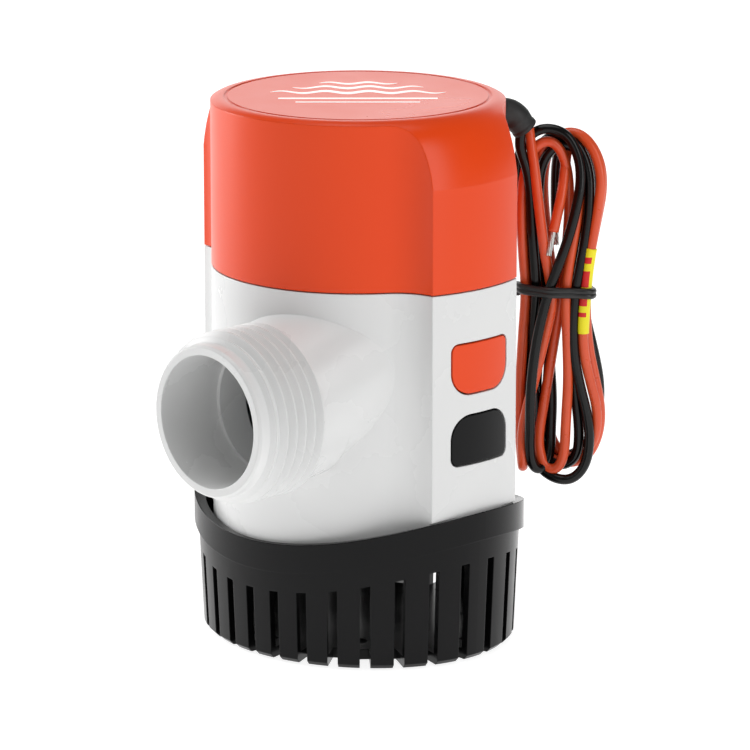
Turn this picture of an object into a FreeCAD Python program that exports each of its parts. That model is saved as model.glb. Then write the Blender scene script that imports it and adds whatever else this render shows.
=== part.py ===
"""Submersible bilge pump: strainer, clip-together housing, sealed motor cartridge and coiled leads.

Frame: millimetres, +Z up, origin on the motor axis at the underside of the strainer. The outlet
points along -Y and the two housing wings, with their latch windows, lie along +X and -X.
"""
import FreeCAD, Part
import math
import os
import re

SIZES = [
    # housing plan
    ("body_radius", 33.5, "outside radius of the round part of the housing"),
    ("wing_radius", 39.6, "outside radius of the two latch wings"),
    ("wing_half_width", 13.45, "half width of a wing at its sharp edges"),
    ("body_wall", 2.2, "wall of the white housing"),
    ("cap_wall", 2.4, "wall of the cap"),
    # heights
    ("joint_height", 86.3, "parting line between housing and cap"),
    ("cap_height", 38.6, "cap, from the parting line to its top"),
    ("joint_reveal", 0.3, "open line between housing and cap"),
    ("shoulder_radius", 31.0, "radius where the cap's flat top ends"),
    ("shoulder_drop", 21.0, "height of the cap's rounded wing shoulder"),
    # strainer
    ("foot_inset_x", 1.5, "strainer foot inside the wings"),
    ("foot_proud_y", 0.4, "strainer foot outside the round part"),
    ("strainer_draft", 0.9, "outward lean of the strainer wall up to its rim"),
    ("strainer_wall", 1.8, "strainer wall"),
    ("strainer_floor", 2.4, "strainer floor"),
    ("rim_proud_x", 1.4, "rim outside the wings"),
    ("rim_proud_y", 1.6, "rim outside the round part"),
    ("rim_wall", 0.9, "thinnest wall of the rim, at the wings"),
    ("rim_clearance", 0.3, "housing to rim"),
    ("rim_low_height", 20.8, "lower edge of the rim at the front"),
    ("rim_high_height", 27.4, "upper edge of the rim at the front"),
    ("seat_height", 22.3, "ledge that the housing stands on, at the front"),
    ("arch_radius", 112.0, "radius of the arched rim and slot tops"),
    ("slot_width", 2.4, "strainer slot"),
    ("slot_top_height", 16.1, "top of the slots at the front"),
    ("slot_reach", 7.7, "how far a slot runs in across the floor"),
    ("base_screw_circle", 44.0, "pitch circle of the mounting holes"),
    ("base_screw_hole", 4.5, "mounting hole"),
    # outlet
    ("outlet_height", 60.2, "height of the outlet axis"),
    ("outlet_offset", 9.5, "outlet axis to motor axis, because the outlet leaves on a tangent"),
    ("outlet_reach", 56.0, "motor axis to the outlet face"),
    ("outlet_bore", 30.0, "bore of the outlet"),
    ("lip_wall", 2.2, "wall of the plain lip"),
    ("thread_wall", 2.9, "wall of the outlet under the hose thread"),
    ("thread_depth", 1.6, "depth of the hose thread"),
    ("thread_pitch", 2.75, "thread pitch"),
    ("thread_start", 6.2, "outlet face to the first crest"),
    ("neck_wall", 6.5, "how far the neck spreads round the bore where it runs into the housing"),
    ("neck_rise", 8.6, "rise of the neck towards the housing"),
    # motor cartridge and motor
    ("cartridge_radius", 23.2, "outside radius of the motor cartridge"),
    ("cartridge_wall", 2.0, "wall of the motor cartridge"),
    ("cartridge_floor_height", 41.0, "underside of the cartridge floor"),
    ("flange_thickness", 2.5, "cartridge flange"),
    ("can_radius", 20.6, "outside radius of the motor can"),
    ("can_wall", 1.2, "steel of the motor can"),
    ("can_bottom_height", 46.0, "underside of the motor can"),
    ("can_length", 52.0, "length of the motor can"),
    ("magnet_thickness", 2.7, "magnet"),
    ("air_gap", 0.8, "magnet to armature"),
    ("core_ends", 28.0, "can length beyond the armature stack: windings, brushes and end bell"),
    ("shaft_radius", 1.6, "motor shaft"),
    ("shaft_clearance", 0.03, "running clearance of the shaft in its bushes and seal"),
    ("commutator_radius", 4.5, "commutator"),
    ("impeller_radius", 21.0, "impeller"),
    ("impeller_height", 32.3, "underside of the impeller vanes"),
    ("impeller_length", 7.0, "impeller, vanes and back plate"),
    ("impeller_gap", 0.8, "inlet plate to impeller"),
    ("eye_radius", 11.0, "suction eye in the inlet plate"),
    # latches
    ("latch_gap", 0.4, "open line round a latch button"),
    ("latch_thickness", 1.4, "latch arm"),
    ("window_half_width", 8.9, "half width of a latch window"),
    ("upper_window_low", 62.5, "bottom of the upper window"),
    ("upper_window_high", 74.7, "top of the upper window"),
    ("lower_window_low", 46.3, "bottom of the lower window"),
    ("lower_window_high", 58.1, "top of the lower window"),
    ("window_small_round", 2.0, "small corner of a window"),
    ("window_large_round", 5.5, "large corner of a window"),
    ("cap_hinge_rise", 3.2, "parting line to the flexing root of a cap latch"),
    ("strainer_hinge_height", 25.0, "flexing root of a strainer latch"),
    ("pivot_radius", 1.1, "trunnion of a latch"),
    ("pivot_clearance", 0.05, "trunnion to its hole"),
    ("pivot_length", 13.4, "trunnion, end to end"),
    ("arm_width", 10.0, "latch arm"),
    ("arm_clearance", 0.35, "latch arm to the wing's wall"),
    ("lug_middle", 6.1, "middle of a latch to the middle of its lug"),
    ("lug_width", 1.6, "lug"),
    # cartridge screws
    ("screw_radius", 1.5, "cartridge screw"),
    ("screw_head_radius", 2.7, "head of a cartridge screw"),
    ("screw_length", 14.0, "shank of a cartridge screw"),
    ("screw_inset", 4.6, "housing's inner wall to a screw's axis"),
    ("boss_radius", 2.9, "screw boss in the cap"),
    # leads
    ("lead_diameter", 2.4, "insulated lead"),
    ("lead_bearing", 65.0, "direction of the lead exit round the cap, from +X"),
    ("boot_height", 119.0, "height of the lead boot"),
    ("boot_radius", 3.1, "radius of the lead boot"),
    ("hank_distance", 49.9, "motor axis to the middle of the hank"),
    ("hank_bearing", 45.4, "direction of the hank's wide side"),
    ("hank_low_height", 32.5, "bottom of the hank"),
    ("hank_high_height", 113.4, "top of the hank"),
    ("hank_half_width", 9.8, "half of the hank's wide side"),
    ("hank_half_depth", 6.2, "half of the hank's narrow side"),
    ("tie_height", 75.8, "height of the tie round the hank"),
]

# Sizes that follow from others: the strainer fits round the housing, and the outlet round its bore.
DERIVED = {
    "core_length": "(can_length - core_ends)",
    "outlet_lip_radius": "(outlet_bore / 2 + lip_wall)",
    "thread_root_radius": "(outlet_bore / 2 + thread_wall)",
    "thread_radius": "(outlet_bore / 2 + thread_wall + thread_depth)",
    "neck_root_radius": "(outlet_bore / 2 + neck_wall)",
    "cap_hinge_height": "(joint_height + cap_hinge_rise)",
    "strainer_length_x": "(2 * (wing_radius - foot_inset_x))",
    "strainer_length_y": "(2 * (body_radius + foot_proud_y))",
    "rim_length_x": "(2 * (wing_radius + rim_proud_x))",
    "rim_length_y": "(2 * (body_radius + rim_proud_y))",
}

SLOT_COUNT = 30
VANE_COUNT = 6
POLE_COUNT = 5
THREAD_CRESTS = 5

doc = FreeCAD.newDocument("BilgePump")
sheet = doc.addObject("Spreadsheet::Sheet", "Sizes")
for row, (alias, size, note) in enumerate(SIZES, start=1):
    sheet.set("A%d" % row, note)
    sheet.set("B%d" % row, str(size))
    sheet.setAlias("B%d" % row, alias)
doc.recompute()

NODES = []


# ---------------------------------------------------------------- small helpers

SIZE_NAME = re.compile(r"\b[a-z]+(?:_[a-z0-9]+)+\b")


def sized(formula):
    """A formula in named sizes, written as an expression; every size's name holds an underscore."""
    basic = SIZE_NAME.sub(lambda found: DERIVED.get(found.group(), found.group()), str(formula))
    return SIZE_NAME.sub(lambda found: "Sizes." + found.group(), basic)


def value(formula):
    """The number that a formula in sheet aliases gives now."""
    return float(sheet.evalExpression(sized(formula)))


def bind(item, **formulas):
    """Bind properties to formulas; a double underscore in a name stands for a dot."""
    for name, formula in formulas.items():
        item.setExpression(name.replace("__", "."), sized(formula))


def place(item, x=0, y=0, z=0, axis=(0, 0, 1), angle=0):
    """Turn an object about an axis and bind its position."""
    turn = FreeCAD.Rotation(FreeCAD.Vector(*axis), angle)
    item.Placement = FreeCAD.Placement(FreeCAD.Vector(), turn)
    bind(item, Placement__Base__x=x, Placement__Base__y=y, Placement__Base__z=z)
    return item


def cylinder(name, radius, length, **where):
    item = doc.addObject("Part::Cylinder", name)
    bind(item, Radius=radius, Height=length)
    return place(item, **where)


def cone(name, radius, end_radius, length, **where):
    item = doc.addObject("Part::Cone", name)
    bind(item, Radius1=radius, Radius2=end_radius, Height=length)
    return place(item, **where)


def box(name, length, width, height, **where):
    item = doc.addObject("Part::Box", name)
    bind(item, Length=length, Width=width, Height=height)
    return place(item, **where)


def ellipse(name, half_x, half_y, **where):
    item = doc.addObject("Part::Ellipse", name)
    bind(item, MajorRadius=half_x, MinorRadius=half_y)
    return place(item, **where)


def loft(name, sections, ruled=False):
    item = doc.addObject("Part::Loft", name)
    item.Sections = sections
    item.Solid = True
    item.Ruled = ruled
    return item


def fuse(name, *pieces):
    item = doc.addObject("Part::MultiFuse", name)
    item.Shapes = list(pieces)
    item.Refine = True
    return item


def common(name, *pieces):
    item = doc.addObject("Part::MultiCommon", name)
    item.Shapes = list(pieces)
    return item


def cut(name, base, *tools):
    """Take the tools away from the base, one after the other."""
    for number, tool in enumerate(tools, start=1):
        item = doc.addObject("Part::Cut", name if number == len(tools) else "%s_%d" % (name, number))
        item.Base = base
        item.Tool = tool
        base = item
    return base


def node(label, item):
    """Give a finished sub-part its name and list it for export."""
    item.Label = label
    NODES.append(item)
    return item


def new_sketch(body, name, plane):
    sketch = body.newObject("Sketcher::SketchObject", name)
    support = next(f for f in body.Origin.OriginFeatures if f.Role == plane)
    sketch.AttachmentSupport = [(support, "")]
    sketch.MapMode = "FlatFace"
    return sketch


def polygon(body, name, plane, points):
    """A closed sketch outline whose corners are pairs of formulas."""
    import Sketcher
    sketch = new_sketch(body, name, plane)
    corners = [FreeCAD.Vector(value(a), value(b), 0) for a, b in points]
    for here, there in zip(corners, corners[1:] + corners[:1]):
        sketch.addGeometry(Part.LineSegment(here, there))
    count = len(points)
    for index in range(count):
        sketch.addConstraint(Sketcher.Constraint("Coincident", index, 2, (index + 1) % count, 1))
    for index, (across, up) in enumerate(points):
        for kind, formula in (("DistanceX", across), ("DistanceY", up)):
            number = sketch.addConstraint(Sketcher.Constraint(kind, -1, 1, index, 1, value(formula)))
            sketch.setExpression("Constraints[%d]" % number, sized(formula))
    return sketch


def turned(label, points, **where):
    """A body turned about its own Z axis from (radius, height) corners."""
    body = doc.addObject("PartDesign::Body", label)
    sketch = polygon(body, label + "_profile", "XZ_Plane", points)
    turn = body.newObject("PartDesign::Revolution", label + "_turn")
    turn.Profile = sketch
    turn.ReferenceAxis = (sketch, ["V_Axis"])
    turn.Angle = 360
    body.Tip = turn
    return place(body, **where)


# ---------------------------------------------------------------- shared shapes

FLANK = "((wing_radius^2 - body_radius^2) / (2 * (body_radius - wing_half_width)))"
EDGE_X = "sqrt(wing_radius^2 - wing_half_width^2)"


def outline_sketch(body, name, inset):
    """Plan of the housing: a circle with two wings, their flanks tangent to the circle.

    Both wings are arcs about the motor axis. Each hollow flank is tangent to the circle and runs
    along X where it meets the wing, so its centre is beside the wing's sharp edge.
    """
    import Sketcher
    circle = value("body_radius - (%s)" % inset)
    wing = value("wing_radius - (%s)" % inset)
    flank = value("%s + (%s)" % (FLANK, inset))
    centre_x = value(EDGE_X)
    centre_y = value("wing_half_width + " + FLANK)
    reach = math.hypot(centre_x, centre_y)
    toward = math.atan2(centre_y, centre_x)
    along = (reach ** 2 + wing ** 2 - flank ** 2) / (2 * reach)
    edge = toward - math.acos(along / wing)
    edge_from_flank = math.atan2(wing * math.sin(edge) - centre_y, wing * math.cos(edge) - centre_x)
    touch_from_flank = math.atan2(-centre_y, -centre_x)

    sketch = new_sketch(body, name, "XY_Plane")
    up = FreeCAD.Vector(0, 0, 1)

    def arc(x, y, radius, start, end):
        ring = Part.Circle(FreeCAD.Vector(x, y, 0), up, radius)
        return sketch.addGeometry(Part.ArcOfCircle(ring, start, end))

    right = arc(0, 0, wing, -edge, edge)
    back_right = arc(centre_x, centre_y, flank, touch_from_flank, edge_from_flank)
    back = arc(0, 0, circle, toward, math.pi - toward)
    back_left = arc(-centre_x, centre_y, flank, math.pi - edge_from_flank, math.pi - touch_from_flank)
    left = arc(0, 0, wing, math.pi - edge, math.pi + edge)
    front_left = arc(-centre_x, -centre_y, flank, touch_from_flank + math.pi, edge_from_flank + math.pi)
    front = arc(0, 0, circle, math.pi + toward, 2 * math.pi - toward)
    front_right = arc(centre_x, -centre_y, flank, -edge_from_flank, -touch_from_flank)

    def tie(kind, *places):
        return sketch.addConstraint(Sketcher.Constraint(kind, *places))

    for ring in (right, back, left, front):
        tie("Coincident", ring, 3, -1, 1)
    for wing_arc, wing_end, flank_arc, flank_end in (
            (right, 2, back_right, 2), (left, 1, back_left, 1),
            (left, 2, front_left, 2), (right, 1, front_right, 1)):
        tie("Coincident", wing_arc, wing_end, flank_arc, flank_end)
    for flank_arc, flank_end, ring, ring_end in (
            (back_right, 1, back, 1), (back_left, 2, back, 2),
            (front_left, 1, front, 1), (front_right, 2, front, 2)):
        tie("Tangent", flank_arc, flank_end, ring, ring_end)
    tie("Equal", right, left)
    tie("Equal", back, front)
    for ring, size, formula in ((right, wing, "wing_radius"), (back, circle, "body_radius")):
        number = tie("Radius", ring, size)
        sketch.setExpression("Constraints[%d]" % number, sized("%s - (%s)" % (formula, inset)))
    for flank_arc, side, face in ((back_right, 1, 1), (back_left, -1, 1),
                                  (front_left, -1, -1), (front_right, 1, -1)):
        for kind, sign, size, formula in (("DistanceX", side, centre_x, EDGE_X),
                                          ("DistanceY", face, centre_y, "wing_half_width + " + FLANK)):
            number = tie(kind, -1, 1, flank_arc, 3, sign * size)
            sketch.setExpression("Constraints[%d]" % number, sized("%d * (%s)" % (sign, formula)))
    return sketch


def outline_prism(name, inset, low, high):
    """The housing's plan, inset, as an upright prism between two heights."""
    body = doc.addObject("PartDesign::Body", name)
    sketch = outline_sketch(body, name + "_plan", inset)
    pad = body.newObject("PartDesign::Pad", name + "_pad")
    pad.Profile = sketch
    bind(pad, Length="(%s) - (%s)" % (high, low))
    body.Tip = pad
    return place(body, z=low)


def arch(name, height):
    """Everything above the arched surface that is lowest, at this height, along the Y axis."""
    return cylinder(name, "arch_radius", "4 * wing_radius", y="2 * wing_radius",
                    z="(%s) + arch_radius" % height, axis=(1, 0, 0), angle=90)


def oval(name, length_x, length_y, low, high, lean=0):
    """An upright oval drum that may lean outwards by a given amount on its way up."""
    sections = [ellipse(name + "_low", "(%s) / 2" % length_x, "(%s) / 2" % length_y, z=low),
                ellipse(name + "_high", "(%s) / 2 + (%s)" % (length_x, lean),
                        "(%s) / 2 + (%s)" % (length_y, lean), z=high)]
    return loft(name, sections, ruled=True)


# ---------------------------------------------------------------- strainer

def strainer():
    """Black clip-on strainer: slotted oval cup, arched rim, hinge lugs for its two latches."""
    top = "rim_high_height + 10"
    lean = "strainer_draft * (%s) / rim_low_height" % top
    foot = oval("strainer_foot", "strainer_length_x - 2", "strainer_length_y - 2", "0", "1", "1")
    wall = oval("strainer_drum", "strainer_length_x", "strainer_length_y", "1", top, lean)
    lower = cut("strainer_lower", fuse("strainer_outer", foot, wall), arch("rim_split", "seat_height"))
    band = oval("rim_drum", "rim_length_x", "rim_length_y", "rim_low_height - 1", top)
    rim = cut("rim_band", common("rim_above", band, arch("rim_bottom", "rim_low_height")),
              arch("rim_top", "rim_high_height"))
    hollow = oval("strainer_hollow", "strainer_length_x - 2 * strainer_wall",
                  "strainer_length_y - 2 * strainer_wall", "strainer_floor", top, lean)
    socket = common("rim_socket", outline_prism("rim_socket_plan", "-rim_clearance", "rim_low_height", top),
                    oval("rim_socket_drum", "rim_length_x - 2 * rim_wall", "rim_length_y - 2 * rim_wall",
                         "rim_low_height", top),
                    arch("rim_seat", "seat_height"))
    slots = []
    for index in range(SLOT_COUNT):
        bearing = 360.0 / SLOT_COUNT * (index + 0.5)
        turn = math.radians(bearing)
        reach = "(1 / sqrt((%.6f / strainer_length_x)^2 + (%.6f / strainer_length_y)^2) / 2 - slot_reach)" % (
            math.cos(turn), math.sin(turn))
        slots.append(box("slot_%d" % index, "3 * slot_reach", "slot_width", "rim_high_height",
                         x="%s * %.6f + slot_width / 2 * %.6f" % (reach, math.cos(turn), math.sin(turn)),
                         y="%s * %.6f - slot_width / 2 * %.6f" % (reach, math.sin(turn), math.cos(turn)),
                         z="-1", angle=bearing))
    slot_set = cut("slot_set", fuse("slots", *slots), arch("slot_tops", "slot_top_height"))
    holes = [cylinder("base_hole_%d" % index, "base_screw_hole / 2", "strainer_floor + 2",
                      x="base_screw_circle / 2 * %.6f" % math.cos(math.radians(45 + 90 * index)),
                      y="base_screw_circle / 2 * %.6f" % math.sin(math.radians(45 + 90 * index)), z="-1")
             for index in range(4)]
    shell = cut("strainer_shell", fuse("strainer_solid", lower, rim), hollow, socket, slot_set, *holes)
    lugs = []
    for side, sign in (("right", 1), ("left", -1)):
        for face in (1, -1):
            lug = box("strainer_lug_%s_%d" % (side, face + 1), "4.2", "lug_width", "4.2",
                      x="%d * (%s) - 2.1" % (sign, STRAINER_HINGE_X),
                      y="%d * lug_middle - lug_width / 2" % face, z="strainer_hinge_height - 2.1")
            lugs.append(lug)
    pins = [cylinder("strainer_pin_hole_" + side, "pivot_radius + pivot_clearance", "20", x="%d * (%s)" % (sign, STRAINER_HINGE_X),
                     y="10", z="strainer_hinge_height", axis=(1, 0, 0), angle=90)
            for side, sign in (("right", 1), ("left", -1))]
    webs = common("strainer_webs", fuse("strainer_web_blocks", *[
        box("strainer_web_%s_%d" % (side, face + 1), "6", "lug_width", "4.2",
            x="%d * (%s + 4.1) - 3" % (sign, STRAINER_HINGE_X), y="%d * lug_middle - lug_width / 2" % face,
            z="strainer_hinge_height - 2.1")
        for side, sign in (("right", 1), ("left", -1)) for face in (1, -1)]),
        oval("strainer_web_limit", "strainer_length_x - strainer_wall",
             "strainer_length_y - strainer_wall", "strainer_floor", top, lean))
    lug_set = cut("strainer_lugs", fuse("strainer_lug_blocks", *lugs, webs), *pins)
    node("strainer_base", fuse("strainer_base", shell, lug_set))


STRAINER_HINGE_X = "wing_radius - body_wall - 2.5"
CAP_HINGE_X = "wing_radius - cap_wall - 2.1"


# ---------------------------------------------------------------- housing

def window(name, low, high, top_round, bottom_round, inset, depth_start):
    """A latch window's outline, pushed out along +X: flat sides, corners of two sizes."""
    half = "(window_half_width - (%s))" % inset
    bottom = "(%s) + (%s)" % (low, inset)
    top = "(%s) - (%s)" % (high, inset)
    upper = "(%s) - (%s)" % (top_round, inset)
    lower = "(%s) - (%s)" % (bottom_round, inset)
    blocks = [box(name + "_tall", "wing_radius + 5 - (%s)" % depth_start,
                  "2 * (%s - max(%s; %s))" % (half, upper, lower), "(%s) - (%s)" % (top, bottom),
                  x=depth_start, y="-(%s) + max(%s; %s)" % (half, upper, lower), z=bottom),
              box(name + "_wide", "wing_radius + 5 - (%s)" % depth_start, "2 * " + half,
                  "(%s) - (%s) - (%s) - (%s)" % (top, bottom, upper, lower),
                  x=depth_start, y="-" + half, z="(%s) + (%s)" % (bottom, lower))]
    for corner, radius, height in (("upper", upper, "(%s) - (%s)" % (top, upper)),
                                   ("lower", lower, "(%s) + (%s)" % (bottom, lower))):
        for face in (1, -1):
            blocks.append(cylinder("%s_%s_%d" % (name, corner, face + 1), radius,
                                   "wing_radius + 5 - (%s)" % depth_start, x=depth_start,
                                   y="%d * (%s - (%s))" % (face, half, radius), z=height,
                                   axis=(0, 1, 0), angle=90))
        blocks.append(box("%s_%s_bar" % (name, corner), "wing_radius + 5 - (%s)" % depth_start,
                          "2 * (%s - (%s))" % (half, radius), radius, x=depth_start,
                          y="-(%s - (%s))" % (half, radius),
                          z="(%s)" % height if corner == "upper" else "(%s) - (%s)" % (height, radius)))
    return fuse(name, *blocks)


UPPER_WINDOW = ("upper_window_low", "upper_window_high", "window_small_round", "window_large_round")
LOWER_WINDOW = ("lower_window_low", "lower_window_high", "window_large_round", "window_small_round")


def mirrored(name, item):
    """The same piece on the -X side, bound to the one on the +X side."""
    link = doc.addObject("Part::Mirroring", name)
    link.Source = item
    link.Normal = FreeCAD.Vector(1, 0, 0)
    link.Base = FreeCAD.Vector(0, 0, 0)
    return link


def spigot():
    """Outlet spigot: plain lip, ring-crested hose thread, plain root; turned about the outlet axis."""
    points = [("outlet_bore / 2 - 1", "0"), ("outlet_lip_radius - 0.5", "0"),
              ("outlet_lip_radius", "0.6"), ("outlet_lip_radius + 0.2", "thread_start - 3.4"),
              ("thread_root_radius + 0.7", "thread_start - 2.6"),
              ("thread_root_radius", "thread_start - 1.3")]
    for index in range(THREAD_CRESTS):
        crest = "thread_start + %d * thread_pitch" % index
        points += [("thread_root_radius", crest + " - 1.05"), ("thread_radius", crest + " - 0.15"),
                   ("thread_radius", crest + " + 0.15"), ("thread_root_radius", crest + " + 1.05")]
    points += [("outlet_lip_radius", "outlet_reach - 28"), ("outlet_bore / 2 - 1", "outlet_reach - 28")]
    return turned("spigot", points, x="outlet_offset", y="-outlet_reach", z="outlet_height",
                  axis=(1, 0, 0), angle=-90)


def neck():
    """The neck swells and rises from the end of the thread into the side of the housing."""
    sections = []
    for name, radius, reach, x, rise in (
            ("neck_front", "outlet_lip_radius + 0.3", "outlet_reach - 17.5", "outlet_offset", "0"),
            ("neck_back", "neck_root_radius", "12", "outlet_offset - 1.5", "neck_rise")):
        ring = doc.addObject("Part::Circle", name)
        bind(ring, Radius=radius)
        sections.append(place(ring, x=x, y="-(%s)" % reach, z="outlet_height + " + rise,
                              axis=(1, 0, 0), angle=90))
    return loft("neck", sections, ruled=True)


def housing():
    """White housing: winged shell, round inner tube, tangent outlet, two windows in each wing."""
    top = "joint_height - joint_reveal / 2"
    shell = outline_prism("housing_plan", "0", "seat_height", top)
    arched = common("housing_arched", shell, arch("housing_seat", "seat_height"))
    skirt_limit = cut("skirt_ring", outline_prism("skirt_block", "-6", "seat_height - 1", "rim_high_height + 12"),
                      oval("skirt_drum", "rim_length_x - 2 * (rim_wall + rim_clearance)",
                           "rim_length_y - 2 * (rim_wall + rim_clearance)",
                           "seat_height - 2", "rim_high_height + 13"))
    skirt_cut = cut("skirt_cut", skirt_limit, arch("skirt_top", "rim_high_height + rim_clearance"))
    outer = fuse("housing_outer", cut("housing_trimmed", arched, skirt_cut), neck(), spigot())
    bore = turned("housing_bore", [
        ("0", "seat_height - 2"), ("body_radius - body_wall", "seat_height - 2"),
        ("body_radius - body_wall", "impeller_height - impeller_gap - 3.2"),
        ("body_radius - body_wall - 1.3", "impeller_height - impeller_gap - 2"),
        ("body_radius - body_wall", "impeller_height - impeller_gap - 2"),
        ("body_radius - body_wall", "joint_height - 5.5"),
        ("body_radius - body_wall - 1.4", "joint_height - 4.1"),
        ("body_radius - body_wall - 1.4", "joint_height - 0.3 - flange_thickness"),
        ("body_radius - body_wall", "joint_height - 0.3 - flange_thickness"),
        ("body_radius - body_wall", "joint_height + 8"), ("0", "joint_height + 8")])
    pockets = cut("wing_pockets", outline_prism("wing_pocket_plan", "body_wall", "seat_height - 2",
                                                "joint_height + 2"),
                  cylinder("inner_tube", "body_radius", "joint_height + 4", z="0"))
    outlet = [cylinder("outlet_hole", "outlet_bore / 2", "17", x="outlet_offset", y="-outlet_reach + 17",
                       z="outlet_height", axis=(1, 0, 0), angle=90),
              cylinder("outlet_throat", "outlet_bore / 2 - 0.7", "outlet_reach - 19", x="outlet_offset",
                       y="-19", z="outlet_height", axis=(1, 0, 0), angle=90)]
    windows = []
    for name, shape in (("upper_window", UPPER_WINDOW), ("lower_window", LOWER_WINDOW)):
        right = window(name, *shape, "0", "body_radius + 0.5")
        windows += [right, mirrored(name + "_left", right)]
    node("pump_body", cut("pump_body", outer, bore, pockets, *outlet, *windows))


def inlet_plate():
    """Plate under the impeller with the suction eye."""
    low = "impeller_height - impeller_gap - 2"
    node("inlet_plate", turned("inlet_plate", [
        ("eye_radius", low + " - 2"), ("eye_radius + 1.6", low + " - 2"), ("eye_radius + 1.6", low),
        ("body_radius - body_wall - 0.1", low), ("body_radius - body_wall - 0.1", low + " + 2"),
        ("eye_radius", low + " + 2")]))


# ---------------------------------------------------------------- cap

def dome_solid(name, inset, low):
    """A flat-topped solid of revolution with an elliptical shoulder, set from the sheet."""
    top = value("joint_height + cap_height - (%s)" % inset)
    flat = value("shoulder_radius - (%s)" % inset)
    wide = value("wing_radius + 0.4 - (%s)" % inset)
    drop = value("shoulder_drop")
    base = value(low)
    centre = FreeCAD.Vector(flat, 0, top - drop)
    curve = Part.Ellipse(centre + FreeCAD.Vector(0, 0, drop), centre + FreeCAD.Vector(wide - flat, 0, 0),
                         centre)
    ends = sorted((curve.parameter(centre + FreeCAD.Vector(0, 0, drop)),
                   curve.parameter(centre + FreeCAD.Vector(wide - flat, 0, 0))))
    if ends[1] - ends[0] > math.pi:
        ends = [ends[1], ends[0] + 2 * math.pi]
    shoulder = Part.ArcOfEllipse(curve, *ends).toShape()
    corners = [FreeCAD.Vector(flat, 0, top), FreeCAD.Vector(0, 0, top), FreeCAD.Vector(0, 0, base),
               FreeCAD.Vector(wide, 0, base), FreeCAD.Vector(wide, 0, top - drop)]
    lines = [Part.LineSegment(a, b).toShape() for a, b in zip(corners, corners[1:])]
    wire = Part.Wire(Part.__sortEdges__([shoulder] + lines))
    item = doc.addObject("Part::Feature", name)
    item.Shape = Part.Face(wire).revolve(FreeCAD.Vector(), FreeCAD.Vector(0, 0, 1), 360)
    return item


def cap():
    """Orange cap: winged skirt under a domed shoulder, locating spigot, screw bosses, latch lugs."""
    low = "joint_height + joint_reveal / 2"
    outer = common("cap_outer", outline_prism("cap_plan", "0", low, "joint_height + cap_height"),
                   dome_solid("cap_dome", "0", "joint_height - 1"))
    ring = cut("cap_ring_groove", cylinder("cap_ring_outer", "shoulder_radius - 0.6", "1",
                                           z="joint_height + cap_height - 0.25"),
               cylinder("cap_ring_inner", "shoulder_radius - 1.4", "2",
                        z="joint_height + cap_height - 0.5"))
    hollow = common("cap_hollow", outline_prism("cap_hollow_plan", "cap_wall", "joint_height - 1",
                                                "joint_height + cap_height"),
                    dome_solid("cap_hollow_dome", "cap_wall", "joint_height - 1"))
    boot_hole = cylinder("boot_hole", "boot_radius + 0.3", "12",
                         x="(body_radius - 8) * cos(lead_bearing)", y="(body_radius - 8) * sin(lead_bearing)",
                         z="boot_height", axis=lead_turn_axis(), angle=90)
    shell = cut("cap_shell", outer, ring, hollow, boot_hole)
    spigot_ring = turned("cap_spigot", [
        ("body_radius - body_wall - 2.4", "joint_height - 0.3"),
        ("body_radius - body_wall - 0.3", "joint_height - 0.3"),
        ("body_radius - body_wall - 0.3", "joint_height + 4"),
        ("body_radius - cap_wall + 0.2", "joint_height + 6"),
        ("body_radius - cap_wall + 0.2", "joint_height + 10"),
        ("body_radius - body_wall - 2.4", "joint_height + 7")])
    bosses = cut("cap_bosses", fuse("cap_boss_posts", *[
        cylinder("cap_boss_%d" % index, "boss_radius", "26", x=screw_x(index), y=screw_y(index),
                 z="joint_height - 0.3") for index in range(4)]),
        *[cylinder("cap_boss_hole_%d" % index, "screw_radius", "screw_length + 1", x=screw_x(index), y=screw_y(index),
                   z="joint_height - 1") for index in range(4)])
    lugs = []
    for side, sign in (("right", 1), ("left", -1)):
        for face in (1, -1):
            lugs.append(box("cap_lug_%s_%d" % (side, face + 1), "4.4", "lug_width", "7",
                            x="%d * (%s - 0.2) - 2.2" % (sign, CAP_HINGE_X), y="%d * lug_middle - lug_width / 2" % face,
                            z="cap_hinge_height - 2.2"))
    crossbars = [box("cap_crossbar_" + side, "4.4", "2 * lug_middle + lug_width", "lug_width",
                     x="%d * (%s - 0.2) - 2.2" % (sign, CAP_HINGE_X), y="-lug_middle - lug_width / 2",
                     z="cap_hinge_height + 3.2") for side, sign in (("right", 1), ("left", -1))]
    webs = [box("cap_web_" + side, "7", "2 * lug_middle + lug_width", "lug_width",
                x="%d * (body_radius - 1) - 3.5" % sign, y="-lug_middle - lug_width / 2", z="cap_hinge_height + 3.2")
            for side, sign in (("right", 1), ("left", -1))]
    pins = [cylinder("cap_pin_hole_" + side, "pivot_radius + pivot_clearance", "20", x="%d * (%s)" % (sign, CAP_HINGE_X),
                     y="10", z="cap_hinge_height", axis=(1, 0, 0), angle=90)
            for side, sign in (("right", 1), ("left", -1))]
    lug_set = cut("cap_lugs", fuse("cap_lug_blocks", *lugs, *crossbars, *webs), *pins)
    node("cap", fuse("cap", shell, spigot_ring, bosses, lug_set))


def lead_turn_axis():
    """The axis that turns +Z into the direction in which the leads leave the cap."""
    bearing = math.radians(value("lead_bearing"))
    return (-math.sin(bearing), math.cos(bearing), 0)


def screw_x(index):
    return "%.6f * (body_radius - body_wall - screw_inset)" % math.cos(math.radians(45 + 90 * index))


def screw_y(index):
    return "%.6f * (body_radius - body_wall - screw_inset)" % math.sin(math.radians(45 + 90 * index))


# ---------------------------------------------------------------- latches

def latch_button(name, shape, inner):
    """Button that fills a window flush with the wing, with an open line all round."""
    block = window(name + "_block", *shape, "latch_gap", inner)
    return common(name, block, cylinder(name + "_skin", "wing_radius", "joint_height", z="0"))


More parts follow.
